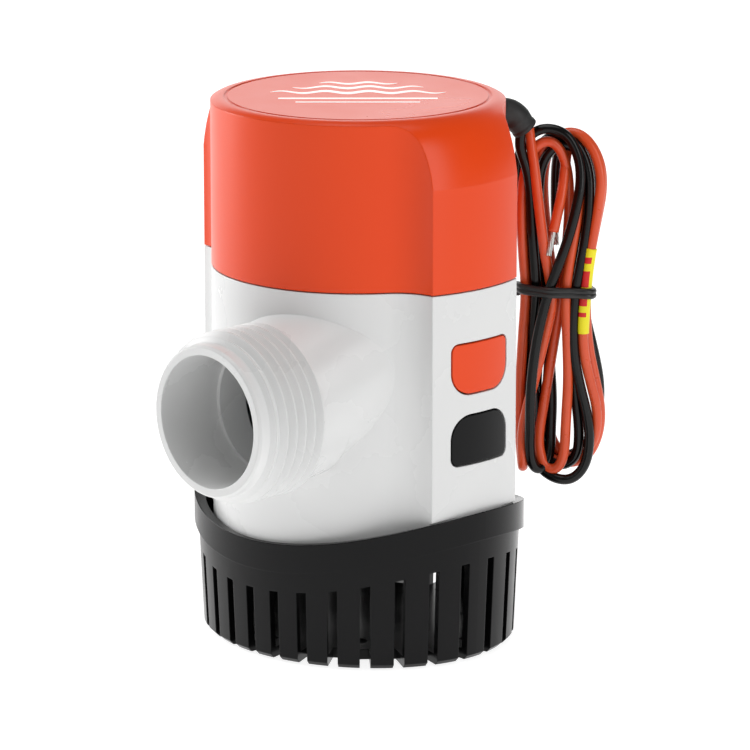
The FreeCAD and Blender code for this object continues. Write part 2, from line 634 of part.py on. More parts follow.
def cap_latch():
    """Cap latch: flexing arm that hangs from the cap inside a wing, with the upper button."""
    arm_out = "wing_radius - body_wall - arm_clearance"
    arm = common("cap_arm", cut("cap_arm_ring",
                 cylinder("cap_arm_out", arm_out, "cap_hinge_height - upper_window_low - latch_gap",
                          z="upper_window_low + latch_gap"),
                 cylinder("cap_arm_in", arm_out + " - latch_thickness", "cap_height * 3", z="0")),
                 box("cap_arm_width", "20", "arm_width", "60", x="body_radius - 5", y="-arm_width / 2",
                     z="upper_window_low"))
    button = latch_button("cap_button", UPPER_WINDOW, arm_out + " - latch_thickness - 0.1")
    knuckle = cylinder("cap_knuckle", "pivot_radius", "arm_width", x=CAP_HINGE_X, y="arm_width / 2",
                       z="cap_hinge_height", axis=(1, 0, 0), angle=90)
    trunnion = cylinder("cap_trunnion", "pivot_radius", "pivot_length", x=CAP_HINGE_X, y="pivot_length / 2",
                        z="cap_hinge_height", axis=(1, 0, 0), angle=90)
    return fuse("cap_latch_right", arm, button, knuckle, trunnion)


def strainer_latch():
    """Strainer latch: flexing arm that rises from the strainer into a wing, with the lower button."""
    arm_out = "wing_radius - body_wall - arm_clearance"
    jog = "strainer_hinge_height + 7.5"
    arm = common("strainer_arm", cut("strainer_arm_ring",
                 cylinder("strainer_arm_out", arm_out, "lower_window_high - latch_gap - (%s)" % jog,
                          z=jog),
                 cylinder("strainer_arm_in", arm_out + " - latch_thickness", "joint_height", z="0")),
                 box("strainer_arm_width", "20", "arm_width", "60", x="body_radius - 5",
                     y="-arm_width / 2", z=jog))
    stem = box("strainer_stem", "1.3", "arm_width", "8.7", x=STRAINER_HINGE_X + " - 0.65", y="-arm_width / 2",
               z="strainer_hinge_height")
    step = common("strainer_step", box("strainer_step_block", "6", "arm_width", "1.8",
                  x=STRAINER_HINGE_X + " - 0.65", y="-arm_width / 2", z="(%s) - 0.6" % jog),
                  cylinder("strainer_step_limit", arm_out, "joint_height", z="0"))
    button = latch_button("strainer_button", LOWER_WINDOW, arm_out + " - latch_thickness - 0.1")
    trunnion = cylinder("strainer_trunnion", "pivot_radius", "pivot_length", x=STRAINER_HINGE_X,
                        y="pivot_length / 2",
                        z="strainer_hinge_height", axis=(1, 0, 0), angle=90)
    return fuse("strainer_latch_right", arm, stem, step, button, trunnion)


# ---------------------------------------------------------------- motor cartridge

FLANGE_TOP = "joint_height - 0.3"
FLANGE_LOW = "joint_height - 0.3 - flange_thickness"


def cartridge():
    """Sealed motor cartridge: cup with a flange that sits on the housing's ledge."""
    edge = "body_radius - body_wall - 0.3"
    holes = [cylinder("flange_hole_%d" % index, "screw_radius + 0.1", "6", x=screw_x(index), y=screw_y(index),
                      z=FLANGE_LOW + " - 1") for index in range(4)]
    cup = turned("cartridge_cup", [
        ("5", "cartridge_floor_height"), ("cartridge_radius", "cartridge_floor_height"),
        ("cartridge_radius", FLANGE_LOW), (edge, FLANGE_LOW), (edge, FLANGE_LOW + " + 0.5"),
        (edge + " - 1.6", FLANGE_LOW + " + 0.5"), (edge + " - 1.6", FLANGE_TOP + " - 0.3"),
        (edge, FLANGE_TOP + " - 0.3"), (edge, FLANGE_TOP),
        ("cartridge_radius - cartridge_wall", FLANGE_TOP),
        ("cartridge_radius - cartridge_wall", "can_bottom_height"), ("10", "can_bottom_height"),
        ("10", "cartridge_floor_height + 2.5"), ("5", "cartridge_floor_height + 2.5")])
    node("motor_cartridge", cut("motor_cartridge", cup, *holes))

    ring = doc.addObject("Part::Torus", "o_ring")
    bind(ring, Radius1=edge + " - 0.5", Radius2="0.8")
    node("cartridge_o_ring", place(ring, z=FLANGE_LOW + " + 1.35"))

    pieces = []
    for index in range(4):
        pieces.append(cylinder("screw_head_%d" % index, "screw_head_radius", "1.8", x=screw_x(index), y=screw_y(index),
                               z=FLANGE_LOW + " - 1.8"))
        pieces.append(cylinder("screw_shank_%d" % index, "screw_radius", "screw_length", x=screw_x(index), y=screw_y(index),
                               z=FLANGE_LOW))
    node("cartridge_screws", fuse("cartridge_screws", *pieces))

    node("shaft_seal", turned("shaft_seal", [
        ("shaft_radius + shaft_clearance", "cartridge_floor_height - 0.6"),
        ("3.4", "cartridge_floor_height - 0.6"), ("5", "cartridge_floor_height"),
        ("5", "cartridge_floor_height + 2.5"), ("3.4", "cartridge_floor_height + 2.5"),
        ("2.6", "cartridge_floor_height + 1"),
        ("shaft_radius + shaft_clearance", "cartridge_floor_height + 1")]))


CAN_TOP = "can_bottom_height + can_length"
CAN_BORE = "can_radius - can_wall"
CORE_RADIUS = "can_radius - can_wall - magnet_thickness - air_gap"
CORE_LOW = "can_bottom_height + 13"
CORE_TOP = "can_bottom_height + 13 + core_length"
BRUSH_HEIGHT = "can_bottom_height + can_length - 7"


def motor_stator():
    """Steel can, two arc magnets, end bell, bushes, brushes with their springs, terminals."""
    node("motor_can", turned("motor_can", [
        ("4", "can_bottom_height"), ("can_radius", "can_bottom_height"), ("can_radius", CAN_TOP),
        (CAN_BORE, CAN_TOP), (CAN_BORE, "can_bottom_height + can_wall"),
        ("4", "can_bottom_height + can_wall")]))
    for side, start in (("right", -62), ("left", 118)):
        outer = cylinder("magnet_outer_" + side, CAN_BORE, "core_length + 8", z=CORE_LOW + " - 4",
                         angle=start)
        outer.Angle = 124
        inner = cylinder("magnet_inner_" + side, CAN_BORE + " - magnet_thickness", "can_length * 2",
                         z="can_bottom_height")
        node("magnet_" + side, cut("magnet_" + side, outer, inner))
    bell = turned("bell_disc", [
        ("shaft_radius + 2.4", CAN_TOP), ("6", CAN_TOP), ("6", CAN_TOP + " - 2"),
        ("11", CAN_TOP + " - 2"), ("11", CAN_TOP), ("can_radius", CAN_TOP),
        ("can_radius", CAN_TOP + " + 2.5"), ("7", CAN_TOP + " + 2.5"), ("7", CAN_TOP + " + 5"),
        ("shaft_radius + 2.4", CAN_TOP + " + 5")])
    holders = [box("brush_holder_" + side, "8", "7", "8", x="%d * 11 - 4" % sign, y="-3.5",
                   z=CAN_TOP + " - 10") for side, sign in (("right", 1), ("left", -1))]
    tunnels = box("brush_tunnel", "40", "4.2", "4.2", x="-20", y="-2.1", z=BRUSH_HEIGHT + " - 2.1")
    tunnel_ends = [box("holder_end_" + side, "1", "7", "8", x="%d * 15.5 - 0.5" % sign, y="-3.5",
                       z=CAN_TOP + " - 10") for side, sign in (("right", 1), ("left", -1))]
    node("end_bell", fuse("end_bell", bell, cut("brush_boxes", fuse("brush_holders", *holders), tunnels),
                          *tunnel_ends))
    for label, low, high in (("lower_bearing", "can_bottom_height - 1.5", "can_bottom_height + 3.5"),
                             ("upper_bearing", CAN_TOP + " - 0.5", CAN_TOP + " + 4.5")):
        node(label, turned(label, [("shaft_radius + shaft_clearance", low), ("shaft_radius + 2.4", low),
                                   ("shaft_radius + 2.4", high),
                                   ("shaft_radius + shaft_clearance", high)]))
    for side, sign in (("right", 1), ("left", -1)):
        block = box("brush_block_" + side, "6.5", "4", "4", x="%d * 6.75 - 3.25" % sign, y="-2",
                    z=BRUSH_HEIGHT + " - 2")
        face = cylinder("brush_face_" + side, "commutator_radius + 0.05", "20", z=BRUSH_HEIGHT + " - 10")
        node("brush_" + side, cut("brush_" + side, block, face))
    springs = [spring("brush_spring_" + side, sign) for side, sign in (("right", 1), ("left", -1))]
    node("brush_springs", fuse("brush_springs", *springs))
    blades = [box("terminal_" + side, "0.8", "4.8", "7", x="%d * 12 - 0.4" % sign, y="-2.4",
                  z=CAN_TOP + " + 2.5") for side, sign in (("right", 1), ("left", -1))]
    node("motor_terminals", fuse("motor_terminals", *blades))


SPRING_PITCH = 1.1
SPRING_RADIUS = 1.5
SPRING_WIRE = 0.28
SPRING_LENGTH = 4.4


def spring(name, sign):
    """Small coil spring behind a brush, of eight-sided wire, from the brush to its holder's end."""
    coil = Part.makeHelix(SPRING_PITCH, SPRING_LENGTH, SPRING_RADIUS)
    start = coil.Vertexes[0].Point
    along = FreeCAD.Vector(0, 2 * math.pi * SPRING_RADIUS, SPRING_PITCH).normalize()
    outward = FreeCAD.Vector(1, 0, 0)
    across = along.cross(outward)
    turns = [2 * math.pi * corner / 8 for corner in range(9)]
    wire = Part.makePolygon([start + outward * (SPRING_WIRE * math.cos(turn))
                             + across * (SPRING_WIRE * math.sin(turn)) for turn in turns])
    item = doc.addObject("Part::Feature", name)
    item.Shape = Part.Wire(coil).makePipeShell([wire], True, True)
    middle = (SPRING_SEAT + SPRING_END) / 2
    start_x = sign * (middle - SPRING_LENGTH / 2)
    turned_out = FreeCAD.Rotation(FreeCAD.Vector(0, 1, 0), 90 * sign)
    item.Placement = FreeCAD.Placement(FreeCAD.Vector(start_x, 0, value(BRUSH_HEIGHT)), turned_out)
    return item


SPRING_SEAT = 10.0
SPRING_END = 15.0


# ---------------------------------------------------------------- rotor

def rotor():
    """Everything that spins: shaft, armature, windings, commutator, thrust washers, impeller, clip."""
    node("shaft", cylinder("shaft", "shaft_radius", CAN_TOP + " + 5.2 - impeller_height + 2.6",
                           z="impeller_height - 2.6"))
    core = turned("core_stack", [("shaft_radius", CORE_LOW), (CORE_RADIUS, CORE_LOW),
                                 (CORE_RADIUS, CORE_TOP), ("shaft_radius", CORE_TOP)])
    slot_radius = 10.2
    voids, bars = [], []
    for index in range(POLE_COUNT):
        bearing = math.radians(360.0 / POLE_COUNT * index + 18)
        x, y = slot_radius * math.cos(bearing), slot_radius * math.sin(bearing)
        voids.append(cylinder("winding_slot_%d" % index, "2.9", "core_length + 2", x=x, y=y,
                              z=CORE_LOW + " - 1"))
        voids.append(box("winding_mouth_%d" % index, "8", "1.2", "core_length + 2",
                         x=x + 0.6 * math.sin(bearing), y=y - 0.6 * math.cos(bearing),
                         z=CORE_LOW + " - 1", angle=math.degrees(bearing)))
        bars.append(cylinder("winding_bar_%d" % index, "2.7", "core_length + 4", x=x, y=y,
                             z=CORE_LOW + " - 2"))
    node("armature_core", cut("armature_core", core, *voids))
    ends = [turned("winding_end_" + name, [
        ("5.5", low), ("13", low), ("13.8", low + " + 1"), ("12.6", low + " + 4"), ("6.5", low + " + 4"),
        ("5.5", low + " + 3")]) for name, low in (("low", CORE_LOW + " - 4"), ("high", CORE_TOP))]
    node("armature_windings", fuse("armature_windings", *bars, *ends))

    segments = turned("commutator_drum", [
        ("shaft_radius", CORE_TOP + " + 3"), ("4", CORE_TOP + " + 3"), ("4", CORE_TOP + " + 4.5"),
        ("commutator_radius", CORE_TOP + " + 4.5"), ("commutator_radius", CAN_TOP + " - 3.5"),
        ("shaft_radius", CAN_TOP + " - 3.5")])
    slits = [box("commutator_slit_%d" % index, "4", "0.4", "9",
                 x=3.6 * math.cos(turn) + 0.2 * math.sin(turn), y=3.6 * math.sin(turn) - 0.2 * math.cos(turn),
                 z=CORE_TOP + " + 4.5", angle=math.degrees(turn))
             for index, turn in enumerate(2 * math.pi / POLE_COUNT * k for k in range(POLE_COUNT))]
    node("commutator", cut("commutator", segments, *slits))

    node("thrust_washers", fuse("thrust_washers", *[
        turned("thrust_washer_" + name, [("shaft_radius", low), ("3.6", low), ("3.6", low + " + 0.8"),
                                         ("shaft_radius", low + " + 0.8")])
        for name, low in (("low", "can_bottom_height + 3.8"), ("high", CAN_TOP + " - 1.7"))]))

    impeller()
    node("impeller_clip", turned("impeller_clip", [
        ("shaft_radius", "impeller_height - 1.6"), ("3.4", "impeller_height - 1.6"),
        ("3.4", "impeller_height"), ("shaft_radius", "impeller_height")]))


def impeller():
    """Impeller: hub and back plate with six backward-leaning vanes on the suction side."""
    plate_low = "impeller_height + impeller_length - 1.6"
    body = doc.addObject("PartDesign::Body", "impeller")
    hub_sketch = polygon(body, "impeller_profile", "XZ_Plane", [
        ("shaft_radius", "0"), ("4.2", "0"), ("5", "1.5"), ("5", "impeller_length - 1.6"),
        ("impeller_radius", "impeller_length - 1.6"), ("impeller_radius", "impeller_length"),
        ("shaft_radius", "impeller_length")])
    hub = body.newObject("PartDesign::Revolution", "impeller_hub")
    hub.Profile = hub_sketch
    hub.ReferenceAxis = (hub_sketch, ["V_Axis"])
    hub.Angle = 360
    vane_sketch = polygon(body, "vane_plan", "XY_Plane", [
        ("4.5", "-0.8"), ("0.55 * impeller_radius", "1.6"), ("0.93 * impeller_radius", "6.2"),
        ("0.91 * impeller_radius", "7.8"), ("0.5 * impeller_radius", "3"), ("4.2", "0.9")])
    vane = body.newObject("PartDesign::Pad", "impeller_vane")
    vane.Profile = vane_sketch
    bind(vane, Length="impeller_length - 1")
    doc.recompute()
    pattern = body.newObject("PartDesign::PolarPattern", "impeller_vanes")
    pattern.Originals = [vane]
    pattern.Axis = (vane_sketch, ["N_Axis"])
    pattern.Angle = 360
    pattern.Occurrences = VANE_COUNT
    body.Tip = pattern
    place(body, z="impeller_height")
    node("impeller", body)


# ---------------------------------------------------------------- leads

def at_bearing(distance, aside, height):
    """A point given by its distance along the lead direction, offset sideways, and height."""
    bearing = math.radians(value("lead_bearing"))
    return FreeCAD.Vector(distance * math.cos(bearing) - aside * math.sin(bearing),
                          distance * math.sin(bearing) + aside * math.cos(bearing), height)


BOOT_KNEE = (37.2, 119.0)
BOOT_END = (40.6, 114.6)
LEAD_ROUTES = {
    "orange": [(41.65, 0.5, 115.2), (43.0, 0.4, 110.6), (44.0, 0.3, 105.4), (44.8, 0.1, 99.6)],
    "black": [(39.6, -0.5, 114.05), (41.0, -0.9, 108.8), (41.8, -1.6, 103.2), (42.3, -2.4, 97.2)],
}


def boot():
    """Rubber boot: collar against the cap, short straight sleeve, then a sleeve bent downwards."""
    start = "(shoulder_radius - 1)"
    sleeve = cone("boot_sleeve", "boot_radius + 0.3", "boot_radius", "%.2f - %s" % (BOOT_KNEE[0], start),
                  x=start + " * cos(lead_bearing)", y=start + " * sin(lead_bearing)",
                  z="boot_height", axis=lead_turn_axis(), angle=90)
    knee = doc.addObject("Part::Sphere", "boot_knee")
    bind(knee, Radius="boot_radius")
    place(knee, x="%.2f * cos(lead_bearing)" % BOOT_KNEE[0], y="%.2f * sin(lead_bearing)" % BOOT_KNEE[0],
          z="boot_height")
    dip = math.degrees(math.atan2(BOOT_KNEE[1] - BOOT_END[1], BOOT_END[0] - BOOT_KNEE[0]))
    length = math.dist(BOOT_KNEE, BOOT_END)
    tail = cone("boot_tail", "boot_radius", "boot_radius - 0.4", "%.3f" % length,
                x="%.2f * cos(lead_bearing)" % BOOT_KNEE[0], y="%.2f * sin(lead_bearing)" % BOOT_KNEE[0],
                z="boot_height", axis=lead_turn_axis(), angle=90 + dip)
    return fuse("boot_form", sleeve, knee, tail)


def smooth_path(points):
    """Straight runs joined by tangent arcs, each as large as its two runs allow."""
    edges, radii = [], []
    here = points[0]
    for before, corner, after in zip(points, points[1:], points[2:]):
        back, ahead = before - corner, after - corner
        turn = math.pi - back.getAngle(ahead)
        short = min(back.Length, ahead.Length)
        trim = 0.45 * short
        radius = trim / math.tan(turn / 2)
        radii.append(radius)
        back.normalize()
        ahead.normalize()
        start, end = corner + back * trim, corner + ahead * trim
        middle = back + ahead
        middle.normalize()
        crown = corner + middle * (radius / math.cos(turn / 2) - radius)
        edges.append(Part.LineSegment(here, start).toShape())
        edges.append(Part.Arc(start, crown, end).toShape())
        here = end
    edges.append(Part.LineSegment(here, points[-1]).toShape())
    return Part.Wire(edges), radii


def tube(name, points, radius):
    """A round cord along a smooth path."""
    path, radii = smooth_path(points)
    along = points[1] - points[0]
    ring = Part.Wire(Part.makeCircle(radius, points[0], along))
    item = doc.addObject("Part::Feature", name)
    item.Shape = path.makePipeShell([ring], True, True)
    expected = math.pi * radius ** 2 * path.Length
    print("%s: radii %s mm, length %.1f mm, volume %.4f of its section" % (
        name, ", ".join("%.1f" % r for r in radii), path.Length, item.Shape.Volume / expected))
    return item


def hank_form():
    """Outer shape of the wound leads: a slim spindle with a waist at the tie and rounded ends."""
    bearing = math.radians(value("lead_bearing"))
    x, y = "%.6f * hank_distance" % math.cos(bearing), "%.6f * hank_distance" % math.sin(bearing)
    low, high = "hank_low_height", "hank_high_height"
    sections = []
    for index, (height, width, depth) in enumerate((
            (low, 0.45, 0.45), (low + " + 4", 0.8, 0.75), (low + " + 14", 0.92, 0.95),
            ("tie_height - 12", 0.9, 0.95), ("tie_height", 0.84, 0.8), ("tie_height + 10", 1.0, 0.95),
            (high + " - 10", 0.98, 0.95), (high + " - 3", 0.72, 0.75), (high, 0.4, 0.45))):
        sections.append(ellipse("hank_section_%d" % index, "%.3f * hank_half_width" % width,
                                "%.3f * hank_half_depth" % depth, x=x, y=y, z=height,
                                angle=value("hank_bearing")))
    return loft("hank_form", sections)


def hank_point(along, toward):
    """Position in the hank's own plan: along its wide side, and across it towards the outlet side."""
    return {"x": "hank_distance * cos(lead_bearing) + (%s) * cos(hank_bearing) + (%s) * sin(hank_bearing)"
                 % (along, toward),
            "y": "hank_distance * sin(lead_bearing) + (%s) * sin(hank_bearing) - (%s) * cos(hank_bearing)"
                 % (along, toward)}


def leads():
    """The two leads, the hank they are wound into, its tie, its marker sleeve and the bare ends."""
    body = boot()
    node("wire_boot", body)
    radius = value("lead_diameter") / 2
    hank = hank_form()
    node("wire_hank", hank)
    marker = cut("lead_marker", cylinder("lead_marker_form", "lead_diameter / 2 + 0.6", "21.4",
                                         z="tie_height - 10.3",
                                         **hank_point("hank_half_width - 1.6", "2.4")), hank)
    node("lead_marker", marker)
    band = ellipse("tie_form", "hank_half_width + 0.2", "hank_half_depth + 0.2", z="tie_height - 2.4",
                   angle=value("hank_bearing"), **hank_point("0", "0"))
    top = ellipse("tie_form_top", "hank_half_width + 0.2", "hank_half_depth + 0.2", z="tie_height + 2.4",
                  angle=value("hank_bearing"), **hank_point("0", "0"))
    node("hank_tie", cut("hank_tie", loft("tie_band", [band, top]), hank, marker))
    for colour, along, side in (("orange", "-2.6", "1"), ("black", "-1", "-1")):
        strand = cylinder("bare_strand_" + colour, "0.75", "5.8", z="tie_height + 8.9",
                          **hank_point(along, side + " * (hank_half_depth + 0.2)"))
        node("bare_end_" + colour, cut("bare_end_" + colour, strand, hank))
    for colour, route in LEAD_ROUTES.items():
        points = [at_bearing(*point) for point in route]
        free = tube("lead_path_" + colour, points, radius)
        node("lead_" + colour, cut("lead_" + colour, free, fuse("lead_limits_" + colour, body, hank)))


strainer()
housing()
inlet_plate()
cap()
cartridge()
motor_stator()
rotor()
for label, right in (("cap_latch", cap_latch()), ("strainer_latch", strainer_latch())):
    node(label + "_right", right)
    node(label + "_left", mirrored(label + "_left", right))
leads()

doc.recompute()
for item in doc.Objects:
    if "Invalid" in item.State or "Error" in item.State:
        raise RuntimeError("%s failed: %s" % (item.Name, item.State))
for item in NODES:
    if item.Shape.isNull() or not item.Shape.isValid():
        raise RuntimeError(item.Label + " has no valid shape")

os.makedirs("parts", exist_ok=True)
for item in NODES:
    item.Shape.exportStep("parts/%s.step" % item.Label)
    print("%-22s %8.1f mm3, %d solids" % (item.Label, item.Shape.Volume, len(item.Shape.Solids)))
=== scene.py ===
"""Looks of the bilge pump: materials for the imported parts, and its leads, boot, tie and printing.

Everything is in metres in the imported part's frame: +Z up, the outlet along -Y, the wings along X.
"""
import math

import bmesh
import bpy
import numpy as np
from mathutils import Matrix


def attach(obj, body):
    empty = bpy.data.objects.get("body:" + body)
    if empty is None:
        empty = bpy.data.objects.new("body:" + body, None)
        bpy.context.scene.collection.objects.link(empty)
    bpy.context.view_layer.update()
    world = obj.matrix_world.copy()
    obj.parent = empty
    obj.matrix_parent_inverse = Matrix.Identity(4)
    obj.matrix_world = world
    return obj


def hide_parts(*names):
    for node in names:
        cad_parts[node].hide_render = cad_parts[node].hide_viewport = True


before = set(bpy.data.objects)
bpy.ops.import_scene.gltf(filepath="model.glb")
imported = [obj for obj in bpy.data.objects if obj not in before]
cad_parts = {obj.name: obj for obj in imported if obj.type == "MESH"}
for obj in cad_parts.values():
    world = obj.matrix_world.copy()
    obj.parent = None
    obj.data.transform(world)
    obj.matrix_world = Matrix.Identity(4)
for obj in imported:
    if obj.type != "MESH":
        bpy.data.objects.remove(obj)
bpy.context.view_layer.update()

MM = 0.001


# ---------------------------------------------------------------- camera

CAMERA_BEARING = math.radians(45.394)
CAMERA_RISE = math.radians(13.960)
CAMERA_DISTANCE = 1.08996
CAMERA_LENS = 227.6
SENSOR_WIDTH = 36
CAMERA_REACH = 20
LOOK_HEIGHT = 0.0595
LOOK_ASIDE = 0.003857


def make_camera():
    """A long lens on a sphere about the pump's middle, aimed a little to the right of its axis."""
    toward = np.array([math.sin(CAMERA_BEARING) * math.cos(CAMERA_RISE),
                       -math.cos(CAMERA_BEARING) * math.cos(CAMERA_RISE), math.sin(CAMERA_RISE)])
    right = np.array([math.cos(CAMERA_BEARING), math.sin(CAMERA_BEARING), 0.0])
    up = np.cross(toward, right)
    camera = bpy.data.objects.new("camera", bpy.data.cameras.new("camera"))
    camera.data.lens = CAMERA_LENS
    camera.data.sensor_width = SENSOR_WIDTH
    camera.data.clip_end = CAMERA_REACH
    place = np.array([0, 0, LOOK_HEIGHT]) + right * LOOK_ASIDE + toward * CAMERA_DISTANCE
    axes = np.eye(4)
    axes[:3, 0], axes[:3, 1], axes[:3, 2], axes[:3, 3] = right, up, toward, place
    camera.matrix_world = Matrix(axes.tolist())
    bpy.context.scene.collection.objects.link(camera)
    bpy.context.scene.camera = camera


# ---------------------------------------------------------------- surfaces

def finished(name, points, faces):
    """A smooth mesh piece with outward faces that rides on the housing."""
    mesh = bpy.data.meshes.new(name)
    mesh.from_pydata(np.asarray(points, float).tolist(), [], faces)
    shell = bmesh.new()
    shell.from_mesh(mesh)
    bmesh.ops.recalc_face_normals(shell, faces=shell.faces)
    shell.to_mesh(mesh)
    shell.free()
    mesh.polygons.foreach_set("use_smooth", np.ones(len(mesh.polygons), bool))
    piece = bpy.data.objects.new(name, mesh)
    bpy.context.scene.collection.objects.link(piece)
    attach(piece, "housing")
    return piece


def grid_faces(rows, columns, first=0):
    """Quads of a grid of points, numbered from the first, that closes round its columns."""
    row = np.arange(rows - 1)[:, None]
    column = np.arange(columns)[None, :]
    below, beside = row + 1, (column + 1) % columns
    corners = np.stack([row * columns + column, row * columns + beside,
                        below * columns + beside, below * columns + column], axis=-1)
    return (corners.reshape(-1, 4) + first).tolist()


def swept(line, radius, sides, reference, first=0):
    """Points and quads of a round bar with pole-closed ends.

    Each ring is the line's point plus radius times (cos t, sin t) in the plane across the line, with
    t measured from the cross product of the line's direction and a reference direction.
    """
    line = np.asarray(line, float)
    radius = np.broadcast_to(radius, len(line))
    along = np.gradient(line, axis=0)
    along /= np.linalg.norm(along, axis=1)[:, None]
    aside = np.cross(along, reference)
    aside /= np.linalg.norm(aside, axis=1)[:, None]
    upward = np.cross(aside, along)
    turn = np.linspace(0, 2 * math.pi, sides, endpoint=False)[None, :, None]
    rings = line[:, None] + radius[:, None, None] * (aside[:, None] * np.cos(turn)
                                                     + upward[:, None] * np.sin(turn))
    poles = np.repeat(line[[0, -1]][:, None], sides, axis=1)
    points = np.concatenate([poles[:1], rings, poles[1:]]).reshape(-1, 3)
    return points, grid_faces(len(line) + 2, sides, first)


def merged(piece):
    """Join the points that lie on each other, such as those at a pole, and turn the faces outward."""
    shell = bmesh.new()
    shell.from_mesh(piece.data)
    bmesh.ops.remove_doubles(shell, verts=shell.verts, dist=1e-7)
    bmesh.ops.recalc_face_normals(shell, faces=shell.faces)
    shell.to_mesh(piece.data)
    shell.free()
    return piece


def joined(name, bars):
    """Several (points, faces) made one piece; each bar's faces already count from its first point."""
    points = np.concatenate([bar[0] for bar in bars])
    faces = [face for bar in bars for face in bar[1]]
    return merged(finished(name, points, faces))


# ---------------------------------------------------------------- leads

LEAD_DIAMETER = 2.4 * MM
HANK_DISTANCE = 49.9
LEAD_BEARING = math.radians(65)
HANK_BEARING = math.radians(45.4)


TOWARD = (math.sin(HANK_BEARING), -math.cos(HANK_BEARING), 0.0)


def in_hank(places):
    """Millimetres along the hank's wide side, towards the viewer and up, as metres in the frame."""
    wide, toward, height = np.asarray(places, float).T
    x = (HANK_DISTANCE * math.cos(LEAD_BEARING) + wide * math.cos(HANK_BEARING)
         + toward * math.sin(HANK_BEARING))
    y = (HANK_DISTANCE * math.sin(LEAD_BEARING) + wide * math.sin(HANK_BEARING)
         - toward * math.cos(HANK_BEARING))
    return np.stack([x, y, height], axis=1) * MM


# Where each lead goes, as (along the wide side, towards the viewer, height) in millimetres.
ORANGE_FREE = [(-7.9, 2.3, 115.2), (-7.2, 3.0, 110.4), (-6.5, 3.5, 105.9), (-5.6, 3.9, 98.4),
               (-4.7, 3.9, 91.2), (-3.8, 3.5, 84.7), (-2.6, 2.8, 78.8)]
ORANGE_TURNS = [
    (-1.7, 2.2, 73.5), (-3.0, 2.1, 67.6), (-4.7, 2.1, 60.2), (-6.2, 1.8, 53.7), (-7.8, 1.6, 47.4),
    (-8.8, 1.5, 41.5), (-8.7, 2.8, 37.0), (-8.5, 1.6, 33.4),
    (-8.5, -1.6, 33.4), (-8.9, -2.9, 37.2), (-9.3, -1.4, 45.0),
    (-9.2, 0.2, 54.0), (-8.7, 0.5, 65.2), (-8.0, 0.6, 75.8), (-8.8, 1.0, 84.0), (-9.3, 1.2, 93.0),
    (-9.1, 1.3, 101.5), (-7.6, 1.3, 108.0), (-4.6, 1.2, 111.4), (-1.0, 1.0, 110.6), (1.3, 0.8, 105.0),
    (1.9, 0.6, 97.0), (1.5, 0.3, 88.0), (0.4, 0.6, 76.0), (-1.6, -0.2, 62.0), (-3.4, -0.2, 50.0),
    (-4.9, 0.4, 41.0), (-4.6, 0.6, 36.8), (-3.2, 1.0, 33.0), (-0.3, 1.7, 33.0),
    (1.2, 2.4, 37.0), (1.4, 3.0, 45.0),
    (1.9, 3.2, 55.0), (1.5, 3.4, 65.2), (1.0, 3.4, 75.8), (1.9, 3.0, 83.5), (3.4, 2.1, 91.5),
    (4.5, 1.0, 99.5), (4.2, -0.4, 107.0), (1.6, -1.4, 112.0), (-2.8, -1.8, 111.8), (-6.0, -2.0, 105.0),
    (-6.9, -2.2, 95.0), (-6.0, -1.6, 84.0), (-5.2, -0.5, 75.0), (-6.2, -2.0, 62.0), (-6.8, -2.8, 49.0),
    (-5.8, -3.0, 39.0), (-2.4, -3.0, 34.4), (2.6, -2.6, 33.2), (6.8, -1.4, 35.2), (9.2, 0.2, 40.8),
    (9.7, 1.0, 47.5), (8.0, 1.1, 55.5), (6.2, 0.9, 64.0), (5.7, 0.7, 75.8), (6.6, 1.2, 84.5),
    (8.1, 1.6, 92.5), (9.5, 1.7, 100.5), (8.7, 1.2, 107.0), (5.4, 0.4, 112.2), (1.2, -0.8, 113.2),
    (-2.6, -2.4, 110.5), (-4.4, -3.6, 102.5), (-3.6, -3.8, 91.0), (-1.4, -2.5, 76.0), (-2.2, -3.6, 61.0),
    (-3.0, -4.2, 47.5), (-1.8, -4.4, 38.0), (2.4, -3.8, 34.0), (6.3, -1.6, 35.6), (8.5, 1.4, 41.0),
    (8.8, 2.7, 47.5), (7.2, 3.1, 53.8), (5.6, 3.3, 60.0), (5.0, 3.3, 67.0), (5.6, 3.2, 76.0),
    (6.3, 3.1, 83.0), (7.4, 2.9, 90.0), (8.6, 2.6, 97.0), (9.2, 2.3, 103.0), (7.6, 1.6, 108.8),
    (5.0, 0.4, 111.8), (2.8, -1.2, 112.2), (1.1, -1.3, 108.8), (0.7, 1.5, 104.0),
    (-0.2, 3.9, 98.6), (-1.3, 4.2, 93.6), (-1.9, 4.3, 90.6)]
BLACK_FREE = [(-9.6, 3.7, 114.05), (-10.0, 3.8, 111.4), (-9.4, 3.4, 108.6), (-8.0, 3.0, 104.6),
              (-7.2, 2.7, 99.0), (-6.8, 2.4, 91.5), (-6.3, 2.3, 84.0)]
